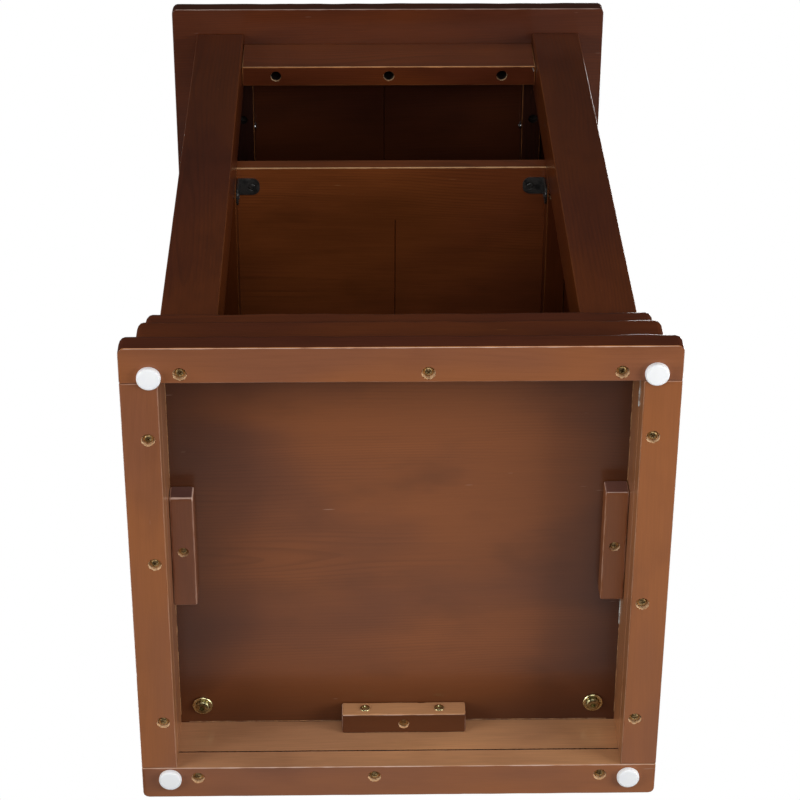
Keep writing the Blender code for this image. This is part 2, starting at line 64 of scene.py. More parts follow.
class Tree:
    """A small helper that adds nodes to a tree and links them by socket name."""

    def __init__(self, tree):
        self.tree = tree

    def add(self, kind, settings=None, **inputs):
        node = self.tree.nodes.new(kind)
        for key, value in (settings or {}).items():
            setattr(node, key, value)
        for key, value in inputs.items():
            self.feed(node.inputs[key.replace("_", " ")], value)
        return node

    def feed(self, socket, value):
        if isinstance(value, bpy.types.NodeSocket):
            self.tree.links.new(value, socket)
        else:
            socket.default_value = value

    def math(self, operation, a, b=0.0, c=0.0, clamp=False):
        node = self.tree.nodes.new("ShaderNodeMath")
        node.operation = operation
        node.use_clamp = clamp
        for socket, value in zip(node.inputs, (a, b, c)):
            self.feed(socket, value)
        return node.outputs[0]

    def vector(self, operation, a, b=(0.0, 0.0, 0.0)):
        node = self.tree.nodes.new("ShaderNodeVectorMath")
        node.operation = operation
        self.feed(node.inputs[0], a)
        self.feed(node.inputs[1], b)
        return node.outputs[0]

    def mix(self, factor, a, b, blend="MIX"):
        node = self.tree.nodes.new("ShaderNodeMix")
        node.data_type = "RGBA"
        node.blend_type = blend
        self.feed(node.inputs["Factor"], factor)
        self.feed(node.inputs[6], a)
        self.feed(node.inputs[7], b)
        return node.outputs[2]

    def smooth(self, value, low, high, to_low=0.0, to_high=1.0):
        node = self.tree.nodes.new("ShaderNodeMapRange")
        node.interpolation_type = "SMOOTHSTEP"
        for name, fed in (
            ("Value", value),
            ("From Min", low),
            ("From Max", high),
            ("To Min", to_low),
            ("To Max", to_high),
        ):
            self.feed(node.inputs[name], fed)
        return node.outputs["Result"]

    def noise(self, place, scale, detail=2.0, rough=0.5, distortion=0.0):
        node = self.add("ShaderNodeTexNoise", Vector=place, Scale=scale, Detail=detail)
        node.inputs["Roughness"].default_value = rough
        node.inputs["Distortion"].default_value = distortion
        return node

    def stretch(self, place, scale, offset=(0.0, 0.0, 0.0)):
        node = self.add("ShaderNodeMapping", Vector=place)
        node.inputs["Scale"].default_value = scale
        node.inputs["Location"].default_value = offset
        return node.outputs[0]

    def split(self, vector):
        return self.add("ShaderNodeSeparateXYZ", Vector=vector).outputs


def rgb(red, green, blue):
    """A colour from 0-255 display values."""
    values = []
    for value in (red, green, blue):
        share = value / 255
        values.append(share / 12.92 if share <= 0.04045 else ((share + 0.055) / 1.055) ** 2.4)
    return (*values, 1.0)


def shader_group(name, inputs, outputs):
    """An empty shader group with named sockets. Returns its helper, inputs and output sockets."""
    tree = bpy.data.node_groups.new(name, "ShaderNodeTree")
    for label, kind, default in inputs:
        socket = tree.interface.new_socket(label, in_out="INPUT", socket_type=f"NodeSocket{kind}")
        socket.default_value = default
    for label, kind in outputs:
        tree.interface.new_socket(label, in_out="OUTPUT", socket_type=f"NodeSocket{kind}")
    helper = Tree(tree)
    given = tree.nodes.new("NodeGroupInput").outputs
    result = tree.nodes.new("NodeGroupOutput").inputs
    return helper, given, result


def board_grain_group():
    """Growth rings and fibres of a sawn board. Place runs along the grain in X."""
    t, given, result = shader_group(
        "Board grain",
        (
            ("Place", "Vector", (0.0, 0.0, 0.0)),
            ("Ring spacing", "Float", 0.0032),
            ("Waviness", "Float", 0.010),
            ("Fibre width", "Float", 0.0009),
        ),
        (("Rings", "Float"), ("Fibre", "Float"), ("Pores", "Float")),
    )
    place = given["Place"]
    drift = t.noise(t.stretch(place, (2.2, 11.0, 11.0)), 1.0, 2.0, 0.45).outputs["Color"]
    centred = t.vector("SUBTRACT", drift, (0.5, 0.5, 0.5))
    scaled = t.add("ShaderNodeVectorMath", {"operation": "SCALE"})
    t.feed(scaled.inputs[0], centred)
    t.feed(scaled.inputs["Scale"], t.math("MULTIPLY", given["Waviness"], 4.0))
    bent = t.vector("ADD", place, scaled.outputs[0])
    parts = t.split(bent)
    radius = t.math(
        "SQRT",
        t.math(
            "ADD",
            t.math("MULTIPLY", parts["Y"], parts["Y"]),
            t.math("MULTIPLY", parts["Z"], parts["Z"]),
        ),
    )
    count = t.math("DIVIDE", radius, given["Ring spacing"])
    year = t.math("FRACT", count)
    late = t.math(
        "MULTIPLY", t.smooth(year, 0.45, 0.90), t.smooth(year, 0.93, 1.0, 1.0, 0.0)
    )
    patch = t.smooth(t.noise(t.stretch(place, (5.0, 16.0, 16.0)), 1.0, 1.0).outputs[0], 0.40, 0.62)
    t.feed(result["Rings"], t.math("MULTIPLY", late, patch))
    thin = t.math("DIVIDE", 1.0, given["Fibre width"])
    streaks = t.add("ShaderNodeTexNoise", Vector=t.stretch(place, (0.03, 1.0, 1.0)), Scale=thin)
    streaks.inputs["Detail"].default_value = 3.0
    t.feed(result["Fibre"], streaks.outputs[0])
    pores = t.noise(t.stretch(place, (90.0, 1500.0, 1500.0)), 1.0, 1.0).outputs[0]
    t.feed(result["Pores"], t.smooth(pores, 0.60, 0.74))
    return t.tree


def cloudy_stain_group():
    """Wiped stain: warm and cold patches, darker where it pooled, along the grain."""
    t, given, result = shader_group(
        "Cloudy stain",
        (
            ("Place", "Vector", (0.0, 0.0, 0.0)),
            ("Warm", "Color", rgb(120, 74, 44)),
            ("Cold", "Color", rgb(88, 56, 46)),
            ("Deep", "Color", rgb(60, 34, 22)),
            ("Rings", "Float", 0.0),
            ("Fibre", "Float", 0.5),
            ("Ring depth", "Float", 0.25),
            ("Streak depth", "Float", 1.0),
        ),
        (("Color", "Color"), ("Pooling", "Float")),
    )
    place = given["Place"]
    clouds = t.noise(t.stretch(place, (4.0, 9.0, 9.0)), 1.0, 2.0, 0.5, 0.2).outputs[0]
    pooled = t.noise(t.stretch(place, (12.0, 24.0, 24.0), (3.0, 7.0, 1.0)), 1.0, 3.0).outputs[0]
    wiped = t.noise(t.stretch(place, (4.0, 60.0, 60.0), (5.0, 2.0, 9.0)), 1.0, 2.0).outputs[0]
    colour = t.mix(t.smooth(clouds, 0.35, 0.68), given["Warm"], given["Cold"])
    pooling = t.smooth(pooled, 0.50, 0.85, 0.0, 0.30)
    colour = t.mix(pooling, colour, given["Deep"])
    streak = t.math("ADD", t.math("MULTIPLY", given["Fibre"], 0.55), t.math("MULTIPLY", wiped, 0.45))
    swing = t.smooth(streak, 0.30, 0.72, -0.20, 0.22)
    shade = t.math("MULTIPLY_ADD", swing, given["Streak depth"], 1.0)
    tinted = t.add("ShaderNodeVectorMath", {"operation": "SCALE"})
    t.feed(tinted.inputs[0], colour)
    t.feed(tinted.inputs["Scale"], shade)
    ring_share = t.math("MULTIPLY", given["Rings"], given["Ring depth"])
    t.feed(result["Color"], t.mix(ring_share, tinted.outputs[0], given["Deep"]))
    t.feed(result["Pooling"], pooling)
    return t.tree


def edge_wear_and_shade_group():
    """Mask of a board's rubbed arrises, and a mask of painted shade near its edges, from a point's offset
    from the board's middle.
    """
    t, given, result = shader_group(
        "Edge wear",
        (
            ("From middle", "Vector", (0.0, 0.0, 0.0)),
            ("Half size", "Vector", (1.0, 1.0, 1.0)),
            ("Place", "Vector", (0.0, 0.0, 0.0)),
            ("Width", "Float", 0.0008),
            ("Amount", "Float", 0.5),
            ("Shade reach", "Float", 0.012),
        ),
        (("Worn", "Float"), ("Near edge", "Float")),
    )
    reach = t.vector("ABSOLUTE", given["From middle"])
    inside = t.split(t.vector("SUBTRACT", given["Half size"], reach))
    low = t.math("MINIMUM", inside["X"], inside["Y"])
    high = t.math("MAXIMUM", inside["X"], inside["Y"])
    edge = t.math("MAXIMUM", low, t.math("MINIMUM", high, inside["Z"]))
    ragged = t.noise(given["Place"], 55.0, 2.0, 0.5).outputs[0]
    broad = t.noise(given["Place"], 14.0, 1.0).outputs[0]
    width = t.math("MULTIPLY", given["Width"], t.smooth(ragged, 0.25, 0.75, 0.7, 1.35))
    rim = t.smooth(t.math("DIVIDE", edge, width), 0.55, 1.05, 1.0, 0.0)
    amount = t.math("MULTIPLY", given["Amount"], t.smooth(broad, 0.3, 0.7, 0.7, 1.1))
    t.feed(result["Worn"], t.math("MULTIPLY", rim, amount, clamp=True))
    # Painted shade mask: full at the board's edges, fading out over the shade reach.
    share = t.math("DIVIDE", edge, given["Shade reach"])
    t.feed(result["Near edge"], t.smooth(share, 0.1, 1.0, 1.0, 0.0))
    return t.tree


def painted_shade_patch_group():
    """Mask of painted shade: a rectangle in the middle of a board's underside, with a soft border."""
    t, given, result = shader_group(
        "Inset patch",
        (
            ("From middle", "Vector", (0.0, 0.0, 0.0)),
            ("Reach", "Vector", (0.0, 0.0, 0.0)),
            ("Softness", "Float", 0.004),
        ),
        (("Patch", "Float"),),
    )
    reach = t.vector("ABSOLUTE", given["From middle"])
    inside = t.split(t.vector("SUBTRACT", given["Reach"], reach))
    edge = t.math("MINIMUM", inside["X"], inside["Y"])
    under = t.math("LESS_THAN", t.split(given["From middle"])["Z"], 0.0)
    soft = t.smooth(t.math("DIVIDE", edge, given["Softness"]), -0.5, 0.5)
    strength = t.split(given["Reach"])["Z"]
    t.feed(result["Patch"], t.math("MULTIPLY", t.math("MULTIPLY", soft, under), strength))
    return t.tree


def scuffs_group():
    """Short thin scratches and specks in the lacquer."""
    t, given, result = shader_group(
        "Scuffs",
        (("Place", "Vector", (0.0, 0.0, 0.0)), ("Amount", "Float", 0.5)),
        (("Scratch", "Float"), ("Dust", "Float")),
    )
    place = given["Place"]
    total = None
    for turn, scale in ((0.12, 31.0), (-0.22, 47.0), (1.35, 23.0)):
        turned = t.add("ShaderNodeMapping", Vector=place)
        turned.inputs["Rotation"].default_value = (turn * 0.4, turn * 0.3, turn)
        turned.inputs["Scale"].default_value = (0.35, 5.0, 5.0)
        cells = t.add("ShaderNodeTexVoronoi", {"feature": "F1"}, Vector=turned.outputs[0])
        cells.inputs["Scale"].default_value = scale
        line = t.smooth(cells.outputs["Distance"], 0.02, 0.055, 1.0, 0.0)
        chosen = t.math("GREATER_THAN", t.split(cells.outputs["Color"])["X"], 0.86)
        mark = t.math("MULTIPLY", line, chosen)
        total = mark if total is None else t.math("MAXIMUM", total, mark)
    t.feed(result["Scratch"], t.math("MULTIPLY", total, given["Amount"], clamp=True))
    specks = t.noise(place, 1300.0, 1.0).outputs[0]
    haze = t.noise(place, 34.0, 3.0, 0.6).outputs[0]
    dust = t.math("MULTIPLY", t.smooth(specks, 0.62, 0.80), t.smooth(haze, 0.45, 0.70))
    t.feed(result["Dust"], t.math("MULTIPLY", dust, given["Amount"], clamp=True))
    return t.tree


def cast_finish_group():
    """Fine unevenness of a plated, painted or moulded surface."""
    t, given, result = shader_group(
        "Small unevenness",
        (("Place", "Vector", (0.0, 0.0, 0.0)), ("Grain", "Float", 900.0)),
        (("Speckle", "Float"), ("Blotch", "Float")),
    )
    fine = t.add("ShaderNodeTexNoise", Vector=given["Place"], Scale=given["Grain"])
    fine.inputs["Detail"].default_value = 3.0
    t.feed(result["Speckle"], fine.outputs[0])
    t.feed(result["Blotch"], t.noise(given["Place"], 160.0, 2.0).outputs[0])
    return t.tree


GROUPS = {
    "grain": board_grain_group(),
    "stain": cloudy_stain_group(),
    "wear": edge_wear_and_shade_group(),
    "patch": painted_shade_patch_group(),
    "scuffs": scuffs_group(),
    "uneven": cast_finish_group(),
}


# ---------------------------------------------------------------- materials


def new_material(name):
    material = bpy.data.materials.new(name)
    material.use_nodes = True
    material.node_tree.nodes.clear()
    t = Tree(material.node_tree)
    shader = t.add("ShaderNodeBsdfPrincipled")
    output = t.add("ShaderNodeOutputMaterial")
    t.tree.links.new(shader.outputs[0], output.inputs["Surface"])
    return material, t, shader.inputs


def use_group(t, key, **inputs):
    node = t.tree.nodes.new("ShaderNodeGroup")
    node.node_tree = GROUPS[key]
    for label, value in inputs.items():
        t.feed(node.inputs[label.replace("_", " ")], value)
    return node.outputs


def attribute(t, name, output="Vector"):
    return t.add("ShaderNodeAttribute", {"attribute_name": name}).outputs[output]


def add_bump(t, shader, height, strength, distance):
    bump = t.add("ShaderNodeBump", Height=height)
    bump.inputs["Strength"].default_value = strength
    bump.inputs["Distance"].default_value = distance
    t.feed(shader["Normal"], bump.outputs[0])


def stained_pine(
    name, warm, cold, deep, bare, ring_depth=0.3, rough=0.36, coat=0.40, shade=0.0,
    reach=12 * MM, streak=1.0, wear_width=0.8 * MM,
):
    """Pine under stain and lacquer, bare at its rubbed arrises, and darkened towards its edges as painted
    shade.
    """
    material, t, shader = new_material(name)
    place = attribute(t, "grain")
    grain = use_group(t, "grain", Place=place)
    stain = use_group(
        t, "stain", Place=place, Warm=warm, Cold=cold, Deep=deep, Rings=grain["Rings"],
        Fibre=grain["Fibre"], Ring_depth=ring_depth, Streak_depth=streak,
    )
    wear = use_group(
        t, "wear", From_middle=attribute(t, "from_middle"), Half_size=attribute(t, "half_size"),
        Place=place, Amount=attribute(t, "rubbed", "Fac"), Shade_reach=reach, Width=wear_width,
    )
    scuffs = use_group(t, "scuffs", Place=place, Amount=0.35)
    # The patch darkens the stain to its deep colour. This is painted shade, and only the slab's ceiling
    # uses it.
    patch = use_group(t, "patch", From_middle=attribute(t, "from_middle"), Reach=attribute(t, "patch"))
    colour = t.mix(patch["Patch"], stain["Color"], deep)
    # Painted shade: the stain darkens to its deep colour towards the board's edges.
    if shade:
        colour = t.mix(t.math("MULTIPLY", wear["Near edge"], shade), colour, deep)
    colour = t.mix(scuffs["Scratch"], colour, bare)
    colour = t.mix(wear["Worn"], colour, bare)
    t.feed(shader["Base Color"], colour)
    gloss = t.math("MULTIPLY_ADD", grain["Fibre"], 0.16, rough - 0.08)
    gloss = t.math("MULTIPLY_ADD", stain["Pooling"], -0.12, gloss)
    gloss = t.math("MULTIPLY_ADD", wear["Worn"], 0.25, gloss)
    gloss = t.math("ADD", gloss, t.math("MULTIPLY", scuffs["Dust"], 0.2), clamp=True)
    t.feed(shader["Roughness"], gloss)
    shader["Coat Weight"].default_value = coat
    shader["Coat Roughness"].default_value = 0.16
    shader["Coat IOR"].default_value = 1.5
    shader["Specular IOR Level"].default_value = 0.28
    raised = 2.5 * ring_depth
    height = t.math("MULTIPLY_ADD", grain["Rings"], raised, t.math("MULTIPLY", grain["Fibre"], 0.3))
    height = t.math("MULTIPLY_ADD", grain["Pores"], -0.35, height)
    height = t.math("MULTIPLY_ADD", scuffs["Scratch"], -0.6, height)
    add_bump(t, shader, height, 0.35, 0.12 * MM)
    return material


def bare_pine(name, light, dark, grime):
    """Unstained pine inside a drilled hole, with torn end fibres."""
    material, t, shader = new_material(name)
    place = t.add("ShaderNodeTexCoord").outputs["Object"]
    torn = t.noise(t.stretch(place, (900.0, 900.0, 240.0)), 1.0, 3.0, 0.7).outputs[0]
    broad = t.noise(place, 190.0, 2.0).outputs[0]
    colour = t.mix(t.smooth(torn, 0.3, 0.7), light, dark)
    t.feed(shader["Base Color"], t.mix(t.smooth(broad, 0.5, 0.75, 0.0, 0.5), colour, grime))
    t.feed(shader["Roughness"], t.smooth(torn, 0.3, 0.7, 0.62, 0.85))
    add_bump(t, shader, torn, 0.8, 0.3 * MM)
    return material


def metal(name, base, tarnish, rough, share=1.0, grain=900.0, coat=0.0):
    """A plated, polished or painted fastener finish."""
    material, t, shader = new_material(name)
    place = t.add("ShaderNodeTexCoord").outputs["Object"]
    uneven = use_group(t, "uneven", Place=place, Grain=grain)
    t.feed(shader["Base Color"], t.mix(t.smooth(uneven["Blotch"], 0.42, 0.68), base, tarnish))
    t.feed(shader["Roughness"], t.smooth(uneven["Speckle"], 0.3, 0.7, rough * 0.75, rough * 1.3))
    shader["Metallic"].default_value = share
    shader["Coat Weight"].default_value = coat
    shader["Coat Roughness"].default_value = 0.2
    add_bump(t, shader, uneven["Speckle"], 0.25, 0.05 * MM)
    return material


def nylon():
    """White moulded glide, slightly translucent, with grey scuffs on its foot and a faint painted glow."""
    material, t, shader = new_material("white_nylon")
    place = t.add("ShaderNodeTexCoord").outputs["Object"]
    uneven = use_group(t, "uneven", Place=place, Grain=520.0)
    scuffs = use_group(t, "scuffs", Place=place, Amount=0.5)
    colour = t.mix(t.smooth(uneven["Blotch"], 0.45, 0.7, 0.0, 0.6), rgb(252, 253, 254), rgb(242, 245, 249))
    t.feed(shader["Base Color"], t.mix(scuffs["Dust"], colour, rgb(214, 214, 216)))
    t.feed(shader["Roughness"], t.smooth(uneven["Speckle"], 0.3, 0.7, 0.38, 0.52))
    shader["Subsurface Weight"].default_value = 0.15
    shader["Subsurface Radius"].default_value = (2 * MM, 2 * MM, 2.4 * MM)
    shader["Subsurface Scale"].default_value = 1.0
    # A faint emission makes the glide glow whiter than its lamps light it. This is painted light.
    shader["Emission Color"].default_value = rgb(236, 244, 250)
    shader["Emission Strength"].default_value = 0.14
    add_bump(t, shader, uneven["Speckle"], 0.2, 0.08 * MM)
    return material


def dried_glue(name, skin, thin):
    """Wood glue, dried to a skin."""
    material, t, shader = new_material(name)
    place = t.add("ShaderNodeTexCoord").outputs["Object"]
    uneven = use_group(t, "uneven", Place=place, Grain=420.0)
    t.feed(shader["Base Color"], t.mix(t.smooth(uneven["Blotch"], 0.4, 0.65), skin, thin))
    t.feed(shader["Roughness"], t.smooth(uneven["Speckle"], 0.3, 0.7, 0.2, 0.4))
    shader["Coat Weight"].default_value = 0.3
    add_bump(t, shader, uneven["Speckle"], 0.4, 0.15 * MM)
    return material


PINK_BARE, GREY_BARE = rgb(216, 184, 166), rgb(178, 150, 138)
TAN_BARE, PALE_BARE = rgb(206, 134, 76), rgb(238, 184, 130)
OUTER = stained_pine(
    "stained_wood", rgb(114, 55, 21), rgb(98, 45, 23), rgb(50, 22, 12), TAN_BARE,
    ring_depth=0.2, coat=0.28, streak=0.7, wear_width=1.15 * MM,
)
SLAB = stained_pine(
    "slab_stain", rgb(100, 48, 21), rgb(84, 40, 22), rgb(52, 27, 19), GREY_BARE,
    ring_depth=0.2, coat=0.28, streak=0.6,
)
PLINTH = stained_pine(
    "plinth_stain", rgb(160, 96, 52), rgb(140, 86, 58), rgb(94, 52, 34), PINK_BARE,
    ring_depth=0.05, coat=0.28, streak=0.3,
)
# Paler copies of the stain for the faces inside the plinth's recess and the back cleat's front face. They
# are painted light, standing in for the low front lamp lighting those faces.
WALL = stained_pine(
    "wall_stain", rgb(206, 152, 106), rgb(186, 136, 98), rgb(128, 84, 54), PINK_BARE,
    ring_depth=0.12, streak=0.5,
)
SIDE_WALL = stained_pine(
    "side_wall_stain", rgb(180, 122, 78), rgb(160, 108, 76), rgb(108, 68, 44), PINK_BARE,
    ring_depth=0.12, streak=0.5,
)
# The floor board's underside, and the back cleat that shares this material, get painted shade towards
# their edges, where the plinth's walls would shade them.
FLOOR = stained_pine(
    "floor_stain", rgb(142, 82, 44), rgb(112, 66, 44), rgb(62, 33, 19), PINK_BARE,
    ring_depth=0.15, rough=0.38, coat=0.24, shade=0.7, reach=100 * MM, streak=0.3,
)
# A lighter stain than the body's, for the shelf and the rail's front. This is painted light, standing in
# for light bounced up from the floor onto these faces.
SHELF = stained_pine(
    "shelf_stain", rgb(150, 80, 38), rgb(132, 68, 36), rgb(62, 29, 14), PALE_BARE,
    ring_depth=0.25, streak=0.7, wear_width=1.2 * MM,
)
# A near-black stain for the cleats up under the top, inside the cabinet. It is painted shade where little
# light reaches.
SHADED_INNER = stained_pine(
    "inner_wood", rgb(62, 30, 18), rgb(48, 22, 16), rgb(24, 12, 9), TAN_BARE,
    rough=0.42, coat=0.25,
)
CLEAT = stained_pine(
    "cleat_stain", rgb(146, 88, 50), rgb(124, 75, 50), rgb(86, 50, 34), PINK_BARE,
    ring_depth=0.05, coat=0.28, streak=0.4, wear_width=1.3 * MM,
)
END_GRAIN = stained_pine(
    "end_grain_stain", rgb(128, 88, 76), rgb(104, 72, 66), rgb(70, 44, 38), PINK_BARE,
    ring_depth=0.1, streak=0.4, wear_width=1.3 * MM,
)
BORE = bare_pine("bare_pine", rgb(240, 208, 168), rgb(212, 166, 118), rgb(140, 96, 58))
# Near-black pine for the deep parts of the holes. It is painted shade where little light gets in.
SHADED_BORE = bare_pine("grimy_pine", rgb(40, 24, 14), rgb(24, 14, 9), rgb(16, 10, 7))
BRASSY = metal("brass_screw", rgb(196, 166, 118), rgb(134, 108, 70), 0.38)
YELLOW = metal("yellow_zinc", rgb(214, 206, 158), rgb(176, 168, 124), 0.26)
OLIVE = metal("bolt_zinc", rgb(176, 168, 126), rgb(122, 114, 82), 0.30)
BRIGHT = metal("bright_steel", rgb(214, 216, 220), rgb(170, 172, 178), 0.2)
BLACK = metal(
    "black_steel", rgb(62, 60, 58), rgb(38, 38, 38), 0.34, share=0.0, grain=1100.0, coat=0.35
)
NYLON = nylon()
GLUE = dried_glue("dried_glue", rgb(206, 210, 206), rgb(150, 132, 118))
POOLED = dried_glue("pooled_stain", rgb(56, 30, 18), rgb(44, 24, 14))
RESIN = dried_glue("thin_glue_line", rgb(186, 140, 96), rgb(140, 94, 60))


# ---------------------------------------------------------------- meshes


def new_object(name, data):
    obj = bpy.data.objects.new(name, data)
    bpy.context.scene.collection.objects.link(obj)
    return obj


def flatten(obj):
    """Applies an object's modifiers and its place, so that it sits at the origin."""
    bpy.context.view_layer.update()
    graph = bpy.context.evaluated_depsgraph_get()
    mesh = bpy.data.meshes.new_from_object(obj.evaluated_get(graph), depsgraph=graph)
    mesh.transform(obj.matrix_world)
    mesh.name = obj.name
    obj.modifiers.clear()
    obj.data = mesh
    obj.matrix_world = Matrix.Identity(4)
    return obj


def from_bmesh(name, bm):
    bmesh.ops.recalc_face_normals(bm, faces=bm.faces)
    mesh = bpy.data.meshes.new(name)
    bm.to_mesh(mesh)
    bm.free()
    return new_object(name, mesh)


def lathe(name, profile, steps=32):
    """A closed body of revolution about +Z from (radius, height) pairs, top to bottom."""
    bm = bmesh.new()
    rings = []
    for radius, height in profile:
        if radius == 0.0:
            rings.append([bm.verts.new((0.0, 0.0, height))])
            continue
        turns = [2 * pi * k / steps for k in range(steps)]
        rings.append([bm.verts.new((radius * cos(a), radius * sin(a), height)) for a in turns])
    pairs = list(zip(rings, rings[1:]))
    if len(rings[0]) > 1:
        pairs.append((rings[-1], rings[0]))
    for upper, lower in pairs:
        for k in range(steps):
            n = (k + 1) % steps
            if len(upper) == 1:
                bm.faces.new((upper[0], lower[k], lower[n]))
            elif len(lower) == 1:
                bm.faces.new((upper[k], lower[0], upper[n]))
            else:
                bm.faces.new((upper[k], lower[k], lower[n], upper[n]))
    return from_bmesh(name, bm)


def subtract(obj, tool):
    cut = obj.modifiers.new("Cut", "BOOLEAN")
    cut.operation = "DIFFERENCE"
    cut.solver = "EXACT"
    cut.object = tool
    tool.hide_render = True


def remove(*objects):
    for obj in objects:
        bpy.data.objects.remove(obj, do_unlink=True)


def face_name(axis, sign):
    return ("-" if sign < 0 else "+") + AXES[axis]


class Edges:
    """The radius of each edge of a board, by the two faces that meet there."""

    def __init__(self, arris, outward="", round_over=0.0):
        self.arris = arris
        self.outward = outward.split()
        self.round_over = round_over

    def radius(self, one, other):
        outward = [face in self.outward for face in (one, other)]
        if all(outward) or (any(outward) and "+z" in (one, other)):
            return self.round_over
        return self.arris


ROUND_SHARES = (0.0, 0.15, 0.4, 0.7, 1.0)


def station_list(low, high, start_radius, end_radius, step):
    """Places along a board, close together where its ends are rounded."""
    inner_low, inner_high = low + start_radius, high - end_radius
    count = max(2, int((inner_high - inner_low) / step))
    places = [low + start_radius * (1 - cos(share * pi / 2)) for share in ROUND_SHARES]
    places += [inner_low + (inner_high - inner_low) * k / count for k in range(1, count)]
    places += [high - end_radius * (1 - cos(share * pi / 2)) for share in ROUND_SHARES[::-1]]
    return places


def pull_in(distance, radius):
    """How far a rounded face has drawn in at a distance from the board's end."""
    if distance >= radius:
        return 0.0
    return radius - sqrt(max(0.0, radius * radius - (radius - distance) ** 2))


ARC_STEPS = 4
WAVER_PITCH = 42.0
DENT_REACH, DENT_DEPTH = 4.4 * MM, 0.9 * MM


def dented(radius, corner, place, dents):
    """An arris's radius at a place along it, made larger where a dent has crushed it."""
    for dent_corner, centre, depth in dents:
        reach = DENT_REACH * depth
        if corner == dent_corner and abs(place - centre) < reach:
            radius += DENT_DEPTH * depth * (1 - ((place - centre) / reach) ** 2)
    return radius


def sawn_board(name, low, high, along, edges, seed, step=5 * MM, nicks=0, uneven=0.35):
    """A board as a run of sections, so that its arrises waver and carry nicks like sanded wood."""
    rng = Random(seed)
    u, v = [axis for axis in range(3) if axis != along]
    corners = ((u, 1, v, 1), (u, -1, v, 1), (u, -1, v, -1), (u, 1, v, -1))
    radii = [edges.radius(face_name(a, i), face_name(b, j)) for a, i, b, j in corners]
    lateral = ((u, 1), (u, -1), (v, 1), (v, -1))
    ends = {}
    for end in (-1, 1):
        for axis, sign in lateral:
            ends[end, axis, sign] = edges.radius(face_name(along, end), face_name(axis, sign))
    longest = {end: max(ends[end, a, s] for a, s in lateral) for end in (-1, 1)}
    dents = []
    for _ in range(nicks):
        dents.append((rng.randrange(4), rng.uniform(low[along], high[along]), rng.uniform(0.3, 1.0)))
    bm = bmesh.new()
    rings = []
    for place in station_list(low[along], high[along], longest[-1], longest[1], step):
        side = {}
        for axis, sign in lateral:
            near = pull_in(place - low[along], ends[-1, axis, sign])
            far = pull_in(high[along] - place, ends[1, axis, sign])
            limit = high[axis] if sign > 0 else low[axis]
            side[axis, sign] = limit - sign * max(near, far)
        ring = []
        for number, (a, i, b, j) in enumerate(corners):
            waver = noise.noise(Vector((place * WAVER_PITCH, seed * 1.7, number * 5.3)))
            radius = dented(radii[number] * (1 + uneven * waver), number, place, dents)
            for k in range(ARC_STEPS + 1):
                turn = k / ARC_STEPS * pi / 2
                if i * j < 0:
                    turn = pi / 2 - turn
                spot = [place] * 3
                spot[u] = side[a, i] - i * radius + i * radius * cos(turn)
                spot[v] = side[b, j] - j * radius + j * radius * sin(turn)
                ring.append(bm.verts.new(spot))
        rings.append(ring)
    for first, second in zip(rings, rings[1:]):
        for k in range(len(first)):
            n = (k + 1) % len(first)
            bm.faces.new((first[k], first[n], second[n], second[k]))
    bm.faces.new(rings[0])
    bm.faces.new(rings[-1])
    return from_bmesh(name, bm)


def smooth_by_area(obj):
    """Smooth shading that keeps a board's wide faces flat."""
    obj.data.shade_smooth()
    obj.data.set_sharp_from_angle(angle=SHARP_ANGLE)
    weigh = obj.modifiers.new("Face weights", "WEIGHTED_NORMAL")
    weigh.keep_sharp = True
    weigh.weight = 100
    flatten(obj)


def store(mesh, name, kind, values):
    data = mesh.attributes.new(name, kind, "POINT").data
    if kind == "FLOAT_VECTOR":
        data.foreach_set("vector", [part for value in values for part in value])
    else:
        data.foreach_set("value", values)


def mark_board(obj, low, high, along, seed, rubbed, patch=(0.0, 0.0, 0.0)):
    """Writes what the wood materials read: grain place, offset from the middle, wear and the painted shade
    patch.
    """
    rng = Random(seed)
    shift = Vector((rng.uniform(0, 4), rng.uniform(-0.05, 0.05), rng.uniform(0.02, 0.06)))
    tilt = rng.uniform(-0.03, 0.03)
    middle, half = (low + high) / 2, (high - low) / 2
    across, through = sorted((a for a in range(3) if a != along), key=lambda a: -half[a])
    points = [v.co.copy() for v in obj.data.vertices]
    grain = []
    for p in points:
        q = p - middle
        grain.append(
            (q[along] + shift.x, q[across] + shift.y + tilt * q[along], q[through] + shift.z)
        )
    store(obj.data, "grain", "FLOAT_VECTOR", grain)
    store(obj.data, "from_middle", "FLOAT_VECTOR", [p - middle for p in points])
    store(obj.data, "half_size", "FLOAT_VECTOR", [half] * len(points))
    store(obj.data, "rubbed", "FLOAT", [rubbed(p) for p in points])
    store(obj.data, "patch", "FLOAT_VECTOR", [patch] * len(points))


RIM_DEPTH = 3.0 * MM
PILOT = 2.2 * MM


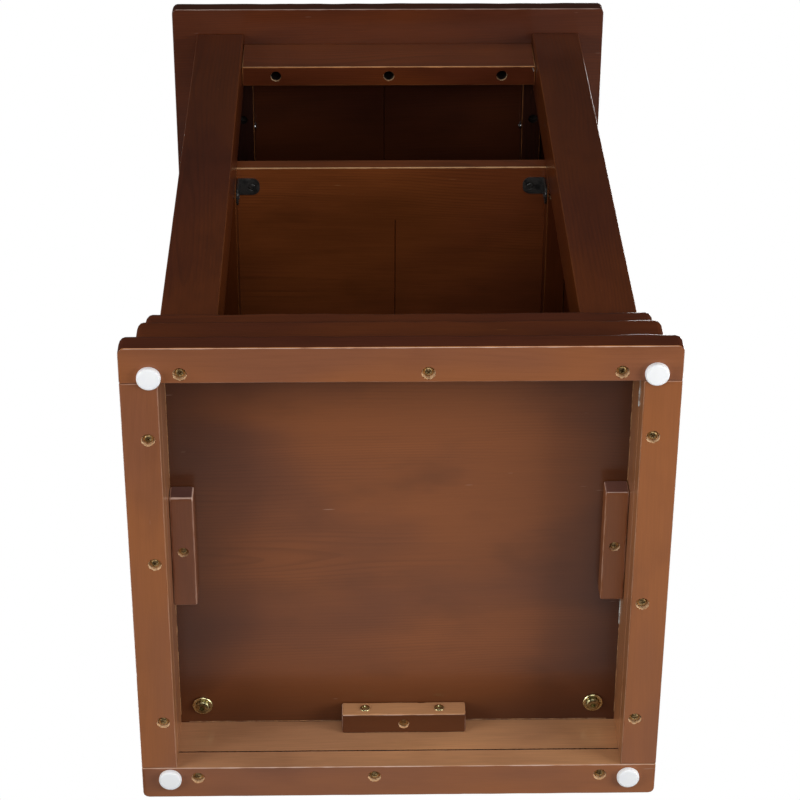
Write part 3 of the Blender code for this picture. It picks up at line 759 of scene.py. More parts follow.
def hole_cutter(name, place, radius, depth, axis, seed):
    """A drilled counterbore's cutter, with a slightly torn rim and the screw's pilot hole."""
    rng = Random(seed)
    deep = depth + 1.5 * MM
    profile = (
        (0.0, deep + PILOT * 0.5),
        (PILOT, deep),
        (PILOT, depth + 0.9 * MM),
        (radius * 0.97, depth),
        (radius, depth * 0.6),
        (radius, min(depth * 0.5, RIM_DEPTH)),
        (radius, 0.5 * MM),
        (radius + 0.25 * MM, 0.0),
        (radius + 0.35 * MM, -1.0 * MM),
        (0.0, -1.0 * MM),
    )
    tool = lathe(name, profile, 36)
    for vertex in tool.data.vertices:
        flat = Vector((vertex.co.x, vertex.co.y))
        if vertex.co.z < 1.0 * MM and flat.length > radius * 0.5:
            tear = 1 + 0.05 * noise.noise(Vector((*(flat * 700), seed)))
            vertex.co.x *= tear
            vertex.co.y *= tear
    turn = UP.rotation_difference(axis).to_matrix().to_4x4()
    spin = Matrix.Rotation(rng.uniform(0, 2 * pi), 4, "Z")
    tool.data.transform(Matrix.Translation(place) @ turn @ spin)
    tool.data.materials.append(BORE)
    return tool


def finish_piece(obj, nodes):
    if nodes:
        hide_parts(*nodes)
    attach(obj, ROOT)
    return obj


def bare_faces(obj, holes, rim):
    """Gives the faces inside the drilled holes to bare pine, near black past the rim's depth as painted
    shade.
    """
    obj.data.materials.append(BORE)
    obj.data.materials.append(SHADED_BORE)
    bare = len(obj.data.materials) - 2
    for face in obj.data.polygons:
        for place, radius, depth, axis in holes:
            offset = face.center - place
            run = offset.dot(axis)
            side = (offset - axis * run).length
            if 0.2 * MM < run < depth + 3 * MM and side < radius + 0.1 * MM:
                face.material_index = bare if run < rim else bare + 1


def face_towards(obj, material, directions):
    """Gives the faces that look along any of the named directions to another material."""
    obj.data.materials.append(material)
    index = len(obj.data.materials) - 1
    for face in obj.data.polygons:
        for direction in directions.split():
            sign = -1 if direction[0] == "-" else 1
            if face.normal[AXES.index(direction[1])] * sign > 0.6:
                face.material_index = index


def middle_of(node):
    low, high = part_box(node)
    return (low + high) / 2


def numbered(prefix, count):
    return [f"{prefix}_{k + 1:02d}" for k in range(count)]


def at_corners(prefix):
    return [f"{prefix}_{end}_{side}" for end in ENDS for side, _ in SIDES]


def even(amount):
    """The same wear all over a board."""
    return lambda p: amount


def worn_in_front(low, strong, weak):
    """Strong wear on a board's lower front arris, weak wear elsewhere."""
    reach = 2 * MM
    return lambda p: strong if p.y < low.y + reach and p.z < low.z + reach else weak


BOARD_COUNT = 0


def make_board(
    node, along, edges, material, rubbed, holes=(), step=5 * MM,
    nicks=0, uneven=0.35, rim=1.0, faced=(),
):
    """Builds one board in the place of its node, drills it, finishes it and rides it.

    Holes are (place, radius, depth, axis), bare as far in as rim and painted dark past it as shade.
    """
    global BOARD_COUNT
    BOARD_COUNT += 1
    seed = BOARD_COUNT
    low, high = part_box(node)
    obj = sawn_board(f"{node}_wood", low, high, along, edges, seed, step, nicks, uneven)
    obj.data.materials.append(material)
    tools = []
    for number, (place, radius, depth, axis) in enumerate(holes):
        tool = hole_cutter(f"drill_{number}", place, radius, depth, axis, seed * 31 + number)
        subtract(obj, tool)
        tools.append(tool)
    flatten(obj)
    remove(*tools)
    smooth_by_area(obj)
    for other, directions in faced:
        face_towards(obj, other, directions)
    if holes:
        bare_faces(obj, holes, rim)
    mark_board(obj, low, high, along, seed, rubbed)
    return finish_piece(obj, [node])


# ---------------------------------------------------------------- wooden pieces


SCREW_BORE, SCREW_BORE_DEEP = 5.6 * MM, 4.5 * MM
CLEAT_BORE, CLEAT_BORE_DEEP = 4.6 * MM, 4.0 * MM
RAIL_BORE, RAIL_BORE_DEEP = 5.4 * MM, 40.0 * MM
TOP_CLEAT_BORE, TOP_CLEAT_BORE_DEEP = 4.8 * MM, 8 * MM
SHELF_CLEAT_BORE, SHELF_CLEAT_BORE_DEEP = 3.4 * MM, 14 * MM
PLINTH_ROUND, FLOOR_ROUND, SLAB_ROUND = 5.5 * MM, 6.0 * MM, 5.0 * MM


def plinth_wear_and_highlight(name, low):
    """Base board wear, most on the front one's lower arris. The pale line on the back one's inner arrises
    is a painted highlight.
    """

    def rubbed(p):
        under, ahead = p.z < low.z + 1.5 * MM, p.y < low.y + 1.5 * MM
        if name == "front" and under and ahead:
            return 1.3
        # On the back board, the pale inner arris line is a painted highlight.
        if name == "back" and ahead:
            return 0.9 if under else 0.6
        return 0.30 if under else 0.16

    return rubbed


def build_plinth_wood():
    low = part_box("base_board_front")[0]
    outward = {"front": "-y -x +x", "back": "+y -x +x", "left": "-x", "right": "+x"}
    inward = {"front": "+y", "back": "-y", "left": "+x", "right": "-x"}
    holes = {name: [] for name in outward}
    for number, node in enumerate(numbered("base_screw", 12)):
        spot = middle_of(node)
        board = list(holes)[number // 3]
        place = Vector((spot.x, spot.y, low.z))
        holes[board].append((place, SCREW_BORE, SCREW_BORE_DEEP, UP))
    for name, out in outward.items():
        along = X if name in ENDS else Y
        # Outward faces take the body's stain. Inward faces take the paler wall copies, which are painted
        # light.
        faced = [(OUTER, f"{out} +z"), (WALL if name == "back" else SIDE_WALL, inward[name])]
        make_board(
            f"base_board_{name}", along, Edges(1.1 * MM, out, PLINTH_ROUND), PLINTH,
            plinth_wear_and_highlight(name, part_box(f"base_board_{name}")[0]), holes=holes[name],
            step=4 * MM, nicks=2, faced=faced,
        )
        make_board(
            f"apron_{name}", along, Edges(0.9 * MM, out, PLINTH_ROUND), PLINTH, even(0.30),
            nicks=3, faced=faced,
        )


def floor_cleat_bores():
    """The middle of each floor cleat's underside, where its screw goes in."""
    bores = {}
    for name in ("left", "right", "front", "back"):
        low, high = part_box(f"floor_cleat_{name}")
        bores[name] = Vector(((low.x + high.x) / 2, (low.y + high.y) / 2, low.z))
    return bores


CLEAT_BORES = floor_cleat_bores()


def cleat_wear(name, low):
    """Floor cleat wear: strong on the end or face that looks at the open front."""
    strong = 0.8 if name == "back" else 1.0
    return lambda p: 0.35 if p.y > low.y + 2.5 * MM else strong


def build_floor_wood():
    make_board(
        "floor_board", X, Edges(0.9 * MM, "-x +x -y +y", FLOOR_ROUND), FLOOR, even(0.35),
        step=8 * MM, faced=[(OUTER, "-x +x -y +y +z")],
    )
    for name, spot in CLEAT_BORES.items():
        node = f"floor_cleat_{name}"
        long_face = name == "back"
        make_board(
            node, X if name in ENDS else Y, Edges(1.8 * MM), FLOOR if long_face else CLEAT,
            cleat_wear(name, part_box(node)[0]),
            holes=[(spot, CLEAT_BORE, CLEAT_BORE_DEEP, UP)], step=3 * MM, nicks=6, uneven=0.5,
            # The back cleat's front face takes the paler wall copy as painted light.
            faced=[(WALL if long_face else END_GRAIN, "-y")],
        )


def build_body_wood():
    for node in at_corners("post"):
        make_board(node, Z, Edges(1.4 * MM), OUTER, even(0.12), nicks=4)
    for node in ("side_panel_left", "side_panel_right", "back_panel"):
        make_board(node, Z, Edges(0.8 * MM), OUTER, even(0.1), step=10 * MM)


def rail_bores():
    """Three screws up through the front rail, one in the middle and one near each post."""
    low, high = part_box("front_rail")
    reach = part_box("post_front_right")[0].x - 35.3 * MM
    return [Vector((x, (low.y + high.y) / 2, low.z)) for x in (-reach, 0.0, reach)]


RAIL_BORES = rail_bores()


def build_top_wood():
    low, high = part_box("front_rail")
    make_board(
        "front_rail", X, Edges(0.9 * MM), OUTER, worn_in_front(low, 1.0, 0.15),
        holes=[(spot, RAIL_BORE, RAIL_BORE_DEEP, UP) for spot in RAIL_BORES], step=4 * MM,
        # The rail's front face takes the shelf's lighter stain as painted light.
        rim=RIM_DEPTH, faced=[(SHELF, "-y")],
    )
    from_end = abs(middle_of("top_cleat_screw_right").y) + 11.6 * MM
    # The top cleats take the dark interior stain, which is painted shade.
    for side, sign in SIDES:
        low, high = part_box(f"top_cleat_{side}")
        x = high.x - 8 * MM if sign > 0 else low.x + 8 * MM
        places = [Vector((x, turn * from_end, low.z)) for turn in (-1, 1)]
        make_board(
            f"top_cleat_{side}", Y, Edges(0.8 * MM), SHADED_INNER, even(0.5),
            holes=[(spot, TOP_CLEAT_BORE, TOP_CLEAT_BORE_DEEP, UP) for spot in places], rim=0.0,
        )
    make_board("top_cleat_back", X, Edges(0.8 * MM), SHADED_INNER, even(0.3))
    build_slab()


def wedge_cutter(name, start, end, width, depth):
    """A thin V-shaped cutter that opens a joint in an underside along a straight line."""
    bm = bmesh.new()
    run = (end - start).normalized()
    side = Vector((-run.y, run.x, 0.0)) * width / 2
    rows = []
    for spot in (start, end):
        down = spot - UP * MM
        outline = (down - side, down + side, spot + side, spot + UP * depth, spot - side)
        rows.append([bm.verts.new(p) for p in outline])
    for k in range(5):
        n = (k + 1) % 5
        bm.faces.new((rows[0][k], rows[0][n], rows[1][n], rows[1][k]))
    bm.faces.new(rows[0])
    bm.faces.new(rows[1])
    return from_bmesh(name, bm)


def open_joint(obj, start, end, width, depth):
    """Cuts an edge-glued joint into an underside and shades the board."""
    joint = wedge_cutter("joint", start, end, width, depth)
    subtract(obj, joint)
    flatten(obj)
    remove(joint)
    smooth_by_area(obj)


def build_slab():
    low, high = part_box("top_slab")
    rail_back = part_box("front_rail")[1].y
    panel_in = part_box("back_panel")[0].y
    side_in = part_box("side_panel_right")[0].x
    joint_x, seed = -4 * MM, 71
    edges = Edges(0.8 * MM, "-x +x -y +y", SLAB_ROUND)
    obj = sawn_board("top_slab_wood", low, high, X, edges, seed, step=6 * MM, nicks=6)
    obj.data.materials.append(SLAB)
    start = Vector((joint_x, rail_back + MM, low.z))
    end = Vector((joint_x, panel_in - MM, low.z))
    open_joint(obj, start, end, width=0.9 * MM, depth=1.6 * MM)
    # Painted shade: the slab's underside between the side panels and back to the back panel is darkened
    # where little light reaches inside the cabinet.
    painted_shade_share = 0.35
    ceiling_shade = (side_in, panel_in, painted_shade_share)
    mark_board(obj, low, high, X, seed, worn_in_front(low, 0.9, 0.2), ceiling_shade)
    finish_piece(obj, ["top_slab"])


def shelf_blank(low, high):
    """The shelf's board, notched round the back posts."""
    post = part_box("post_back_right")[0]
    notch_x, notch_y = post.x - 0.3 * MM, post.y - 0.3 * MM
    right = [(high.x, low.y), (high.x, notch_y), (notch_x, notch_y), (notch_x, high.y)]
    left = [(-notch_x, high.y), (-notch_x, notch_y), (low.x, notch_y)]
    bm = bmesh.new()
    outline = [(low.x, low.y), *right, *left]
    under = bm.faces.new([bm.verts.new((x, y, low.z)) for x, y in outline])
    raised = bmesh.ops.extrude_face_region(bm, geom=[under])
    tops = [v for v in raised["geom"] if isinstance(v, bmesh.types.BMVert)]
    bmesh.ops.translate(bm, verts=tops, vec=(0, 0, high.z - low.z))
    return from_bmesh("shelf_wood", bm)


def ease_edges(obj, width, segments, angle):
    ease = obj.modifiers.new("Eased edges", "BEVEL")
    ease.width = width
    ease.segments = segments
    ease.limit_method = "ANGLE"
    ease.angle_limit = angle


def build_shelf_wood():
    low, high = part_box("shelf")
    obj = shelf_blank(low, high)
    obj.data.materials.append(SHELF)
    ease_edges(obj, 1.0 * MM, 3, pi / 4)
    joint_x, seed = 4 * MM, 83
    start = Vector((joint_x, low.y + 58 * MM, low.z))
    end = Vector((joint_x, high.y + MM, low.z))
    open_joint(obj, start, end, width=1.1 * MM, depth=2.2 * MM)
    mark_board(obj, low, high, X, seed, worn_in_front(low, 1.1, 0.15))
    finish_piece(obj, ["shelf"])
    from_middle = middle_of("bracket_back_right").y + 3.4 * MM
    for side, sign in SIDES:
        low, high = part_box(f"shelf_cleat_{side}")
        x = low.x + 4.6 * MM if sign > 0 else high.x - 4.6 * MM
        places = [Vector((x, turn * from_middle, low.z)) for turn in (-1, 1)]
        make_board(
            f"shelf_cleat_{side}", Y, Edges(0.8 * MM), OUTER, even(0.2),
            holes=[(spot, SHELF_CLEAT_BORE, SHELF_CLEAT_BORE_DEEP, UP) for spot in places],
        )
    make_board("shelf_cleat_back", X, Edges(0.8 * MM), OUTER, even(0.2))


# ---------------------------------------------------------------- fasteners


def geometry_group(name, inputs):
    tree = bpy.data.node_groups.new(name, "GeometryNodeTree")
    tree.is_modifier = True
    for label, kind, default in inputs:
        socket = tree.interface.new_socket(label, in_out="INPUT", socket_type=f"NodeSocket{kind}")
        if default is not None:
            socket.default_value = default
    tree.interface.new_socket("Geometry", in_out="OUTPUT", socket_type="NodeSocketGeometry")
    t = Tree(tree)
    return t, tree.nodes.new("NodeGroupInput").outputs, tree.nodes.new("NodeGroupOutput").inputs


def fastener_set_tree():
    """Puts one fastener on every point, driven along the point's axis and turned at random."""
    t, given, result = geometry_group(
        "Fastener set",
        (
            ("Geometry", "Geometry", None),
            ("Fastener", "Object", None),
            ("Tilt", "Float", 0.03),
            ("Seed", "Int", 4),
            ("Finish", "Material", None),
        ),
    )
    info = t.add("GeometryNodeObjectInfo", {"transform_space": "ORIGINAL"}, Object=given["Fastener"])
    axis = t.add("GeometryNodeInputNamedAttribute", {"data_type": "FLOAT_VECTOR"}, Name="axis")
    aim = t.add("FunctionNodeAlignRotationToVector", {"axis": "Z"}, Vector=axis.outputs[0])
    spin = t.add("FunctionNodeRandomValue", {"data_type": "FLOAT"})
    spin.inputs[2].default_value = 0.0
    spin.inputs[3].default_value = 2 * pi
    t.feed(spin.inputs["Seed"], given["Seed"])
    lean = t.add("FunctionNodeRandomValue", {"data_type": "FLOAT"})
    t.feed(lean.inputs[2], t.math("MULTIPLY", given["Tilt"], -1.0))
    t.feed(lean.inputs[3], given["Tilt"])
    t.feed(lean.inputs["Seed"], t.math("ADD", given["Seed"], 1.0))
    angles = t.add("ShaderNodeCombineXYZ", X=lean.outputs[1], Z=spin.outputs[1])
    own = t.add("FunctionNodeEulerToRotation", Euler=angles.outputs[0])
    turn = t.add("FunctionNodeRotateRotation", {"rotation_space": "LOCAL"})
    t.feed(turn.inputs[0], aim.outputs[0])
    t.feed(turn.inputs[1], own.outputs[0])
    placed = t.add("GeometryNodeInstanceOnPoints", Points=given["Geometry"])
    t.feed(placed.inputs["Instance"], info.outputs["Geometry"])
    t.feed(placed.inputs["Rotation"], turn.outputs[0])
    real = t.add("GeometryNodeRealizeInstances", Geometry=placed.outputs[0])
    painted = t.add("GeometryNodeSetMaterial", Geometry=real.outputs[0], Material=given["Finish"])
    t.feed(result["Geometry"], painted.outputs[0])
    return t.tree


FASTENER_SET = fastener_set_tree()


def set_inputs(modifier, values):
    """Sets a Geometry Nodes modifier's inputs by their sockets' identifiers."""
    for item in modifier.node_group.interface.items_tree:
        if item.item_type == "SOCKET" and item.in_out == "INPUT" and item.name in values:
            modifier[item.identifier] = values[item.name]


def fastener_set(name, template, spots, finish, nodes, seed, tilt=0.03):
    """One mesh of fasteners at (place, axis) spots."""
    mesh = bpy.data.meshes.new(name)
    mesh.from_pydata([place for place, _ in spots], [], [])
    store(mesh, "axis", "FLOAT_VECTOR", [axis for _, axis in spots])
    obj = new_object(name, mesh)
    nodes_modifier = obj.modifiers.new("Fasteners", "NODES")
    nodes_modifier.node_group = FASTENER_SET
    values = {"Fastener": template, "Tilt": tilt, "Seed": seed, "Finish": finish}
    set_inputs(nodes_modifier, values)
    flatten(obj)
    obj.data.shade_smooth()
    obj.data.set_sharp_from_angle(angle=0.7)
    return finish_piece(obj, nodes)


def tapered_bar(name, wide, tall, width, depth, taper):
    """A bar across the middle that narrows with depth, for a cross recess. Opens at height 0."""
    bm = bmesh.new()
    bmesh.ops.create_cube(bm, size=1.0)
    for vertex in bm.verts:
        share = taper if vertex.co.z > 0 else 1.0
        vertex.co.x *= 2 * wide * share
        vertex.co.y *= 2 * width * share
        vertex.co.z = depth if vertex.co.z > 0 else -tall
    return from_bmesh(name, bm)


def cross_screw(name, head, height, shank, length):
    """A pan-head screw whose head hangs below height 0 and whose shank goes up."""
    profile = (
        (0.0, length),
        (shank * 0.5, length - 2.5 * shank),
        (shank, length - 5 * shank),
        (shank, 0.0),
        (head * 0.97, 0.0),
        (head, -height * 0.18),
        (head * 0.96, -height * 0.48),
        (head * 0.82, -height * 0.78),
        (head * 0.55, -height * 0.95),
        (head * 0.25, -height),
        (0.0, -height),
    )
    screw = lathe(name, profile, 40)
    bars = []
    for turn in (0, 1):
        bar = tapered_bar("bar", head * 0.62, 0.6 * MM, head * 0.13, height * 0.72, 0.45)
        bar.data.transform(Matrix.Rotation(turn * pi / 2, 4, "Z"))
        bar.data.transform(Matrix.Translation((0, 0, -height)))
        subtract(screw, bar)
        bars.append(bar)
    flatten(screw)
    remove(*bars)
    return screw


def socket_bolt(name, head, height, shank, length):
    """A domed bolt with a hex socket and a ground ring round it."""
    steps = 6
    profile = [(0.0, length), (shank * 0.8, length - shank * 0.4), (shank, length - shank)]
    profile += [(shank, 0.0), (head * 0.98, 0.0), (head, -height * 0.16)]
    for k in range(1, steps + 1):
        turn = k / steps * pi / 2
        profile.append((head * (0.62 + 0.38 * cos(turn)), -height * (0.16 + 0.84 * sin(turn))))
    profile.append((0.0, -height))
    bolt = lathe(name, profile, 48)
    bm = bmesh.new()
    made = bmesh.ops.create_cone(
        bm, cap_ends=True, segments=6, radius1=head * 0.40, radius2=head * 0.36, depth=height * 1.3
    )
    bmesh.ops.translate(bm, verts=made["verts"], vec=(0, 0, -height + height * 0.05))
    key = from_bmesh("key", bm)
    subtract(bolt, key)
    flatten(bolt)
    remove(key)
    return bolt


def washer(name, inner, outer, thick):
    ease = thick * 0.28
    profile = (
        (inner, -ease),
        (inner + ease, 0.0),
        (outer - ease, 0.0),
        (outer, -ease),
        (outer, -thick + ease),
        (outer - ease, -thick),
        (inner + ease, -thick),
        (inner, -thick + ease),
    )
    return lathe(name, profile, 48)


def glide(name, radius, height, nail, nail_length):
    """A nylon disc with a soft rim, a faint ring from the mould and a nail up through it."""
    seat = height - 0.3 * MM
    profile = (
        (0.0, height + nail_length),
        (nail, height + nail_length - 2 * nail),
        (nail, seat),
        (radius * 0.99, seat),
        (radius, seat * 0.8),
        (radius * 0.995, seat * 0.45),
        (radius * 0.97, seat * 0.22),
        (radius * 0.92, seat * 0.08),
        (radius * 0.85, seat * 0.01),
        (radius * 0.78, 0.0),
        (0.0, 0.0),
    )
    return lathe(name, profile, 64)


def upright_spots(nodes, height):
    """A place under the middle of each node, at one height, with an axis pointing up."""
    places = [middle_of(node) for node in nodes]
    return [(Vector((place.x, place.y, height)), UP) for place in places]


def build_base_screws():
    nodes = numbered("base_screw", 12)
    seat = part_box("base_board_front")[0].z + SCREW_BORE_DEEP - 0.2 * MM
    screw = cross_screw("screw", head=4.3 * MM, height=2.6 * MM, shank=1.9 * MM, length=36 * MM)
    spots = upright_spots(nodes, seat)
    fastener_set("plinth_screws", screw, spots, BRASSY, nodes, 11, 0.06)
    remove(screw)


def build_cleat_and_rail_screws():
    short = cross_screw("screw", head=3.9 * MM, height=2.2 * MM, shank=1.6 * MM, length=14 * MM)
    sunk = UP * (CLEAT_BORE_DEEP - 0.4 * MM)
    spots = [(spot + sunk, UP) for spot in CLEAT_BORES.values()]
    fastener_set("cleat_screws", short, spots, BRASSY, [], 5, 0.08)
    sunk = UP * (RAIL_BORE_DEEP - MM)
    spots = [(spot + sunk, UP) for spot in RAIL_BORES]
    fastener_set("rail_screws", short, spots, BRASSY, [], 8)
    remove(short)


def build_cleat_face_screws():
    """Two flat screws through the upright front face of the back floor cleat."""
    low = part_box("floor_cleat_back")[0]
    height = low.z + 9.9 * MM
    flat = cross_screw("screw", head=4.6 * MM, height=1.4 * MM, shank=1.5 * MM, length=15 * MM)
    spots = [(Vector((x, low.y, height)), BACK) for x in (-30 * MM, 37 * MM)]
    fastener_set("cleat_face_screws", flat, spots, YELLOW, [], 2)
    remove(flat)


def build_post_bolts():
    bolts, washers = at_corners("post_bolt"), at_corners("post_washer")
    low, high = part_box(washers[0])
    ring = washer("ring", inner=4.4 * MM, outer=(high.x - low.x) / 2, thick=high.z - low.z)
    spots = upright_spots(washers, high.z)
    fastener_set("post_washers", ring, spots, YELLOW, washers, 3, 0.0)
    remove(ring)
    bolt = socket_bolt("bolt", head=6.5 * MM, height=3.0 * MM, shank=4.0 * MM, length=62 * MM)
    spots = upright_spots(washers, low.z - 0.3 * MM)
    fastener_set("post_bolts", bolt, spots, OLIVE, bolts, 9, 0.0)
    remove(bolt)


def build_glides():
    feet = at_corners("glide")
    disc = glide("disc", radius=10 * MM, height=5 * MM, nail=1.2 * MM, nail_length=14 * MM)
    spots = upright_spots(feet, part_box(feet[0])[0].z)
    fastener_set("glides", disc, spots, NYLON, feet, 6, 0.0)
    remove(disc)


def build_top_cleat_screws():
    nodes = ["top_cleat_screw_left", "top_cleat_screw_right"]
    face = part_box("top_cleat_right")[0].x
    pan = cross_screw("screw", head=4.3 * MM, height=2.4 * MM, shank=1.9 * MM, length=36 * MM)
    spots = []
    for node, (_, sign) in zip(nodes, SIDES):
        middle = middle_of(node)
        spots.append((Vector((sign * face, middle.y, middle.z)), Vector((sign, 0, 0))))
    fastener_set("top_cleat_screws", pan, spots, BRIGHT, nodes, 7)
    remove(pan)


BRACKET_THICK = 2.0 * MM
BRACKET_BEND = 1.6 * MM


def bent_strip(reach, drop, wide):
    """A strip of steel bent to a right angle, with its outer corner at the origin."""
    profile = [(reach, 0.0)]
    for k in range(5):
        turn = k / 4 * pi / 2
        bend = BRACKET_BEND
        profile.append((bend - bend * sin(turn), -bend + bend * cos(turn)))
    profile.append((0.0, -drop))
    bm = bmesh.new()
    rows = []
    for x, z in profile:
        rows.append([bm.verts.new((x, -wide / 2, z)), bm.verts.new((x, wide / 2, z))])
    for first, second in zip(rows, rows[1:]):
        bm.faces.new((first[0], first[1], second[1], second[0]))
    strip = from_bmesh("leaf", bm)
    wall = strip.modifiers.new("Thickness", "SOLIDIFY")
    wall.thickness = BRACKET_THICK
    wall.offset = 0.0
    flatten(strip)
    left = min(v.co.x for v in strip.data.vertices)
    top = max(v.co.z for v in strip.data.vertices)
    strip.data.transform(Matrix.Translation((-left, 0.0, -top)))
    return strip


def round_tips(strip, tip):
    """Rounds the corners of a bent strip's two ends. Returns how far right and down it goes."""
    bm = bmesh.new()
    bm.from_mesh(strip.data)
    far = max(v.co.x for v in bm.verts)
    down = min(v.co.z for v in bm.verts)
    picked = []
    for edge in bm.edges:
        one, other = (v.co for v in edge.verts)
        through_x, through_z = abs(one.x - other.x), abs(one.z - other.z)
        at_tip = min(one.x, other.x) > far - 0.01 * MM and through_z > BRACKET_THICK / 2
        at_foot = max(one.z, other.z) < down + 0.01 * MM and through_x > BRACKET_THICK / 2
        if at_tip or at_foot:
            picked.append(edge)
    bmesh.ops.bevel(bm, geom=picked, offset=tip, segments=7, profile=0.5, affect="EDGES")
    bm.to_mesh(strip.data)
    bm.free()
    return far, down


def drill_dished(strip, places):
    """Drills a dished hole at each (place, axis), the dish facing away from the bend."""
    through = 2 * BRACKET_THICK + 2 * MM
    profile = (
        (0.0, through),
        (2.4 * MM, through),
        (2.4 * MM, MM + BRACKET_THICK * 0.6),
        (3.8 * MM, MM),
        (3.8 * MM, 0.0),
        (0.0, 0.0),
    )
    drills = []
    for place, axis in places:
        drill = lathe("drill", profile, 28)
        turn = UP.rotation_difference(axis).to_matrix().to_4x4()
        drill.data.transform(Matrix.Translation(place) @ turn)
        subtract(strip, drill)
        drills.append(drill)
    ease_edges(strip, 0.25 * MM, 2, SHARP_ANGLE)
    flatten(strip)
    remove(*drills)


def build_brackets():
    """Four pressed angle brackets with a bent corner, rounded tips and two dished holes each."""
    low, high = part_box("bracket_back_right")
    leaf = bent_strip(high.x - low.x, high.z - low.z, high.y - low.y)
    tip = (high.y - low.y) * 0.42
    far, down = round_tips(leaf, tip)
    hole_x, hole_z = far - tip, down + tip
    clear = BRACKET_THICK + MM
    drill_dished(leaf, (((hole_x, 0, -clear), UP), ((clear, 0, hole_z), Vector((-1, 0, 0)))))
    screws = []
    for name in at_corners("bracket"):
        low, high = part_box(name)
        sign = 1 if low.x > 0 else -1
        outer = high.x if sign > 0 else low.x
        middle_y = (low.y + high.y) / 2
        copy = new_object(f"{name}_steel", leaf.data.copy())
        copy.data.transform(Matrix.Diagonal((-sign, 1, 1, 1)))
        copy.data.transform(Matrix.Translation((outer, middle_y, high.z)))
        if sign > 0:
            copy.data.flip_normals()
        copy.data.materials.append(BLACK)
        copy.data.shade_smooth()
        copy.data.set_sharp_from_angle(angle=SHARP_ANGLE)
        finish_piece(copy, [name])
        sunk = BRACKET_THICK - 0.1 * MM
        screws.append((Vector((outer - sign * hole_x, middle_y, high.z - sunk)), UP))
        aim = Vector((sign, 0, 0))
        screws.append((Vector((outer - sign * sunk, middle_y, high.z + hole_z)), aim))
    remove(leaf)
    small = cross_screw("screw", head=3.3 * MM, height=1.1 * MM, shank=1.4 * MM, length=12 * MM)
    fastener_set("bracket_screws", small, screws, BLACK, [], 12, 0.02)
    remove(small)


# ---------------------------------------------------------------- dried glue


def glue_bead_tree():
    """A thin uneven bead of glue along each line of the mesh that it is given."""
    t, given, result = geometry_group(
        "Glue bead",
        (
            ("Geometry", "Geometry", None),
            ("Radius", "Float", 0.0006),
            ("Unevenness", "Float", 0.8),
            ("Seed", "Float", 1.0),
            ("Finish", "Material", None),
        ),
    )
    curve = t.add("GeometryNodeMeshToCurve", Mesh=given["Geometry"])
    fine = t.add("GeometryNodeResampleCurve", {"mode": "LENGTH"}, Curve=curve.outputs[0], Length=0.0012)
    place = t.add("GeometryNodeInputPosition").outputs[0]
    lumps = t.add("ShaderNodeTexNoise", {"noise_dimensions": "4D"}, Vector=place, W=given["Seed"])
    lumps.inputs["Scale"].default_value = 170.0
    lumps.inputs["Detail"].default_value = 2.0
    swing = t.math("MULTIPLY", t.math("SUBTRACT", lumps.outputs[0], 0.5), 4.0)
    swing = t.math("MULTIPLY_ADD", swing, given["Unevenness"], 1.0)
    size = t.math("MAXIMUM", swing, 0.12)
    ring = t.add("GeometryNodeCurvePrimitiveCircle", Resolution=8)
    t.feed(ring.inputs["Radius"], given["Radius"])
    bead = t.add("GeometryNodeCurveToMesh", Curve=fine.outputs[0], Scale=size)
    t.feed(bead.inputs["Profile Curve"], ring.outputs[0])
    bead.inputs["Fill Caps"].default_value = True
    real = t.add("GeometryNodeRealizeInstances", Geometry=bead.outputs[0])
    painted = t.add("GeometryNodeSetMaterial", Geometry=real.outputs[0], Material=given["Finish"])
    t.feed(result["Geometry"], painted.outputs[0])
    return t.tree


GLUE_BEAD = glue_bead_tree()


def glue_bead(name, lines, radius, seed, finish=GLUE, uneven=0.9):
    """One mesh of beads, one along each (start, end) line."""
    mesh = bpy.data.meshes.new(name)
    points = [p for line in lines for p in line]
    mesh.from_pydata(points, [(2 * k, 2 * k + 1) for k in range(len(lines))], [])
    obj = new_object(name, mesh)
    bead = obj.modifiers.new("Bead", "NODES")
    bead.node_group = GLUE_BEAD
    set_inputs(bead, {"Radius": radius, "Seed": seed, "Finish": finish, "Unevenness": uneven})
    flatten(obj)
    obj.data.shade_smooth()
    return finish_piece(obj, [])


def line(start, end):
    return (Vector(start), Vector(end))


def build_glue():
    inner_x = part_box("apron_right")[0].x
    inner_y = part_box("apron_back")[0].y
    floor_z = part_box("floor_board")[0].z
    base_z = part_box("base_board_right")[1].z
    wall, low_z = inner_x - 0.2 * MM, floor_z - MM
    smears = [
        line((wall, -196 * MM, base_z), (wall, -160 * MM, base_z)),
        line((wall, 30 * MM, low_z), (wall, 92 * MM, low_z)),
    ]
    glue_bead("glue_right_wall", smears, 0.75 * MM, 3.0, uneven=0.4)
    reach, back = 190 * MM, inner_y - 0.1 * MM
    joints = [line((-reach, back, floor_z), (reach, back, floor_z))]
    for x in (-inner_x, inner_x):
        joints.append(line((x, -reach, floor_z), (x, reach, floor_z)))
    glue_bead("glue_floor_joint", joints, 0.32 * MM, 8.0, RESIN, 0.5)
    reach, seam = 197 * MM, inner_y + 0.4 * MM
    for name, height, radius, finish in (
        ("stain_in_joint", base_z + 0.9 * MM, 1.1 * MM, POOLED),
        ("glue_in_joint", base_z - 1.3 * MM, 0.9 * MM, RESIN),
    ):
        glue_bead(name, [line((-reach, seam, height), (reach, seam, height))], radius, 2.0, finish, 0.1)
    low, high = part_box("front_rail")
    spot = Vector((high.x - 3 * MM, low.y + 1.5 * MM, low.z - 0.1 * MM))
    glue_bead("glue_rail_end", [(spot, spot + Vector((1.5, 4.0, 0)) * MM)], 0.5 * MM, 5.0)


# ---------------------------------------------------------------- stage, camera and lights


AMBIENT = 0.045


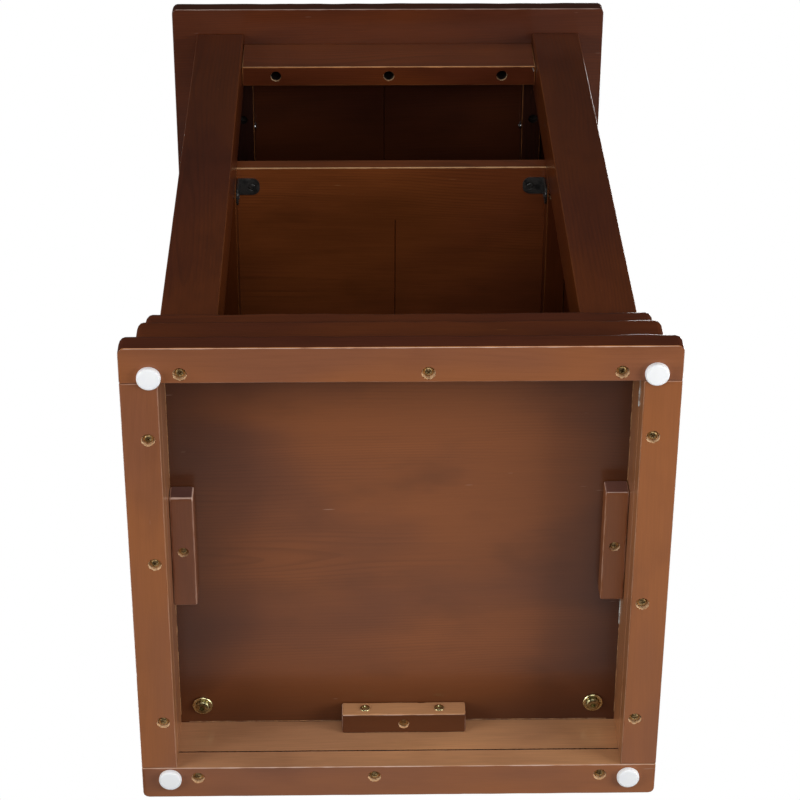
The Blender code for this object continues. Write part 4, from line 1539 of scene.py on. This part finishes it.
def build_stage():
    """A pale floor, seen only from above, and a white surround."""
    bm = bmesh.new()
    bmesh.ops.create_grid(bm, x_segments=1, y_segments=1, size=6.0)
    floor = from_bmesh("studio_floor", bm)
    if floor.data.polygons[0].normal.z < 0:
        floor.data.flip_normals()
    floor.data.materials.append(floor_material())
    floor.visible_diffuse = False
    floor.visible_glossy = False
    floor.visible_shadow = False
    floor.visible_transmission = False
    world = bpy.data.worlds.new("white_surround")
    world.use_nodes = True
    world.node_tree.nodes.clear()
    t = Tree(world.node_tree)
    seen = t.add("ShaderNodeBackground", Color=(1.0, 1.0, 1.0, 1.0), Strength=1.0)
    shed = t.add("ShaderNodeBackground", Color=(1.0, 0.97, 0.93, 1.0), Strength=AMBIENT)
    path = t.add("ShaderNodeLightPath")
    both = t.add("ShaderNodeMixShader")
    t.feed(both.inputs[0], path.outputs["Is Camera Ray"])
    t.feed(both.inputs[1], shed.outputs[0])
    t.feed(both.inputs[2], seen.outputs[0])
    output = t.add("ShaderNodeOutputWorld")
    t.feed(output.inputs["Surface"], both.outputs[0])
    bpy.context.scene.world = world
    bpy.context.scene.view_settings.view_transform = "Standard"


def floor_material():
    material, t, shader = new_material("pale_floor")
    place = t.add("ShaderNodeTexCoord").outputs["Object"]
    haze = t.noise(place, 3.0, 3.0).outputs[0]
    t.feed(shader["Base Color"], t.mix(haze, rgb(236, 236, 236), rgb(228, 228, 228)))
    shader["Roughness"].default_value = 0.8
    clear = t.add("ShaderNodeBsdfTransparent")
    side = t.add("ShaderNodeNewGeometry").outputs["Backfacing"]
    both = t.add("ShaderNodeMixShader")
    nodes = material.node_tree.nodes
    t.feed(both.inputs[0], side)
    t.feed(both.inputs[1], nodes["Principled BSDF"].outputs[0])
    t.feed(both.inputs[2], clear.outputs[0])
    t.feed(nodes["Material Output"].inputs["Surface"], both.outputs[0])
    return material


def build_camera():
    """Looks up at the plinth from below the front, a little to the left."""
    data = bpy.data.cameras.new("camera")
    data.sensor_width = 36.0
    data.lens = 113.23
    camera = new_object("camera", data)
    place = Matrix.Translation((-0.03922, -1.21589, -1.75850))
    right = Vector((0.99980906, -0.00445622, -0.0190257))
    forward = Vector((0.01866354, 0.50619865, 0.86221494))
    up = right.cross(forward)
    camera.matrix_world = place @ Matrix((right, up, -forward)).transposed().to_4x4()
    bpy.context.scene.camera = camera


# name, place, target, size and power
LIGHTS = (
    ("below", (0.15, 1.15, -1.1), (0.0, 0.1, 0.1), 1.1, 2.3),
    ("below_front", (0.1, -1.15, -1.0), (0.0, 0.0, 0.2), 0.9, 6.5),
    ("front", (0.0, -2.3, 0.9), (0.0, 0.0, 0.3), 1.2, 3.0),
    ("left_low", (-1.6, -0.5, -0.8), (0.0, 0.0, 0.2), 1.0, 17.0),
    ("right_low", (1.6, -0.4, -0.8), (0.0, 0.0, 0.2), 1.0, 22.0),
    ("overhead", (0.4, 0.9, 2.5), (0.0, 0.0, 0.5), 1.6, 60.0),
    ("back_left", (-2.0, 1.6, 1.2), (0.0, 0.0, 0.4), 1.4, 40.0),
)


def build_lights():
    for name, place, target, size, power in LIGHTS:
        data = bpy.data.lights.new(name, "AREA")
        data.shape = "SQUARE"
        data.size = size
        data.energy = power
        light = new_object(name, data)
        light.location = place
        aim = Vector(target) - Vector(place)
        light.rotation_euler = aim.to_track_quat("-Z", "Y").to_euler()
        light.visible_camera = False


build_plinth_wood()
build_floor_wood()
build_body_wood()
build_top_wood()
build_shelf_wood()
build_base_screws()
build_cleat_and_rail_screws()
build_cleat_face_screws()
build_post_bolts()
build_glides()
build_top_cleat_screws()
build_brackets()
build_glue()
build_stage()
build_camera()
build_lights()
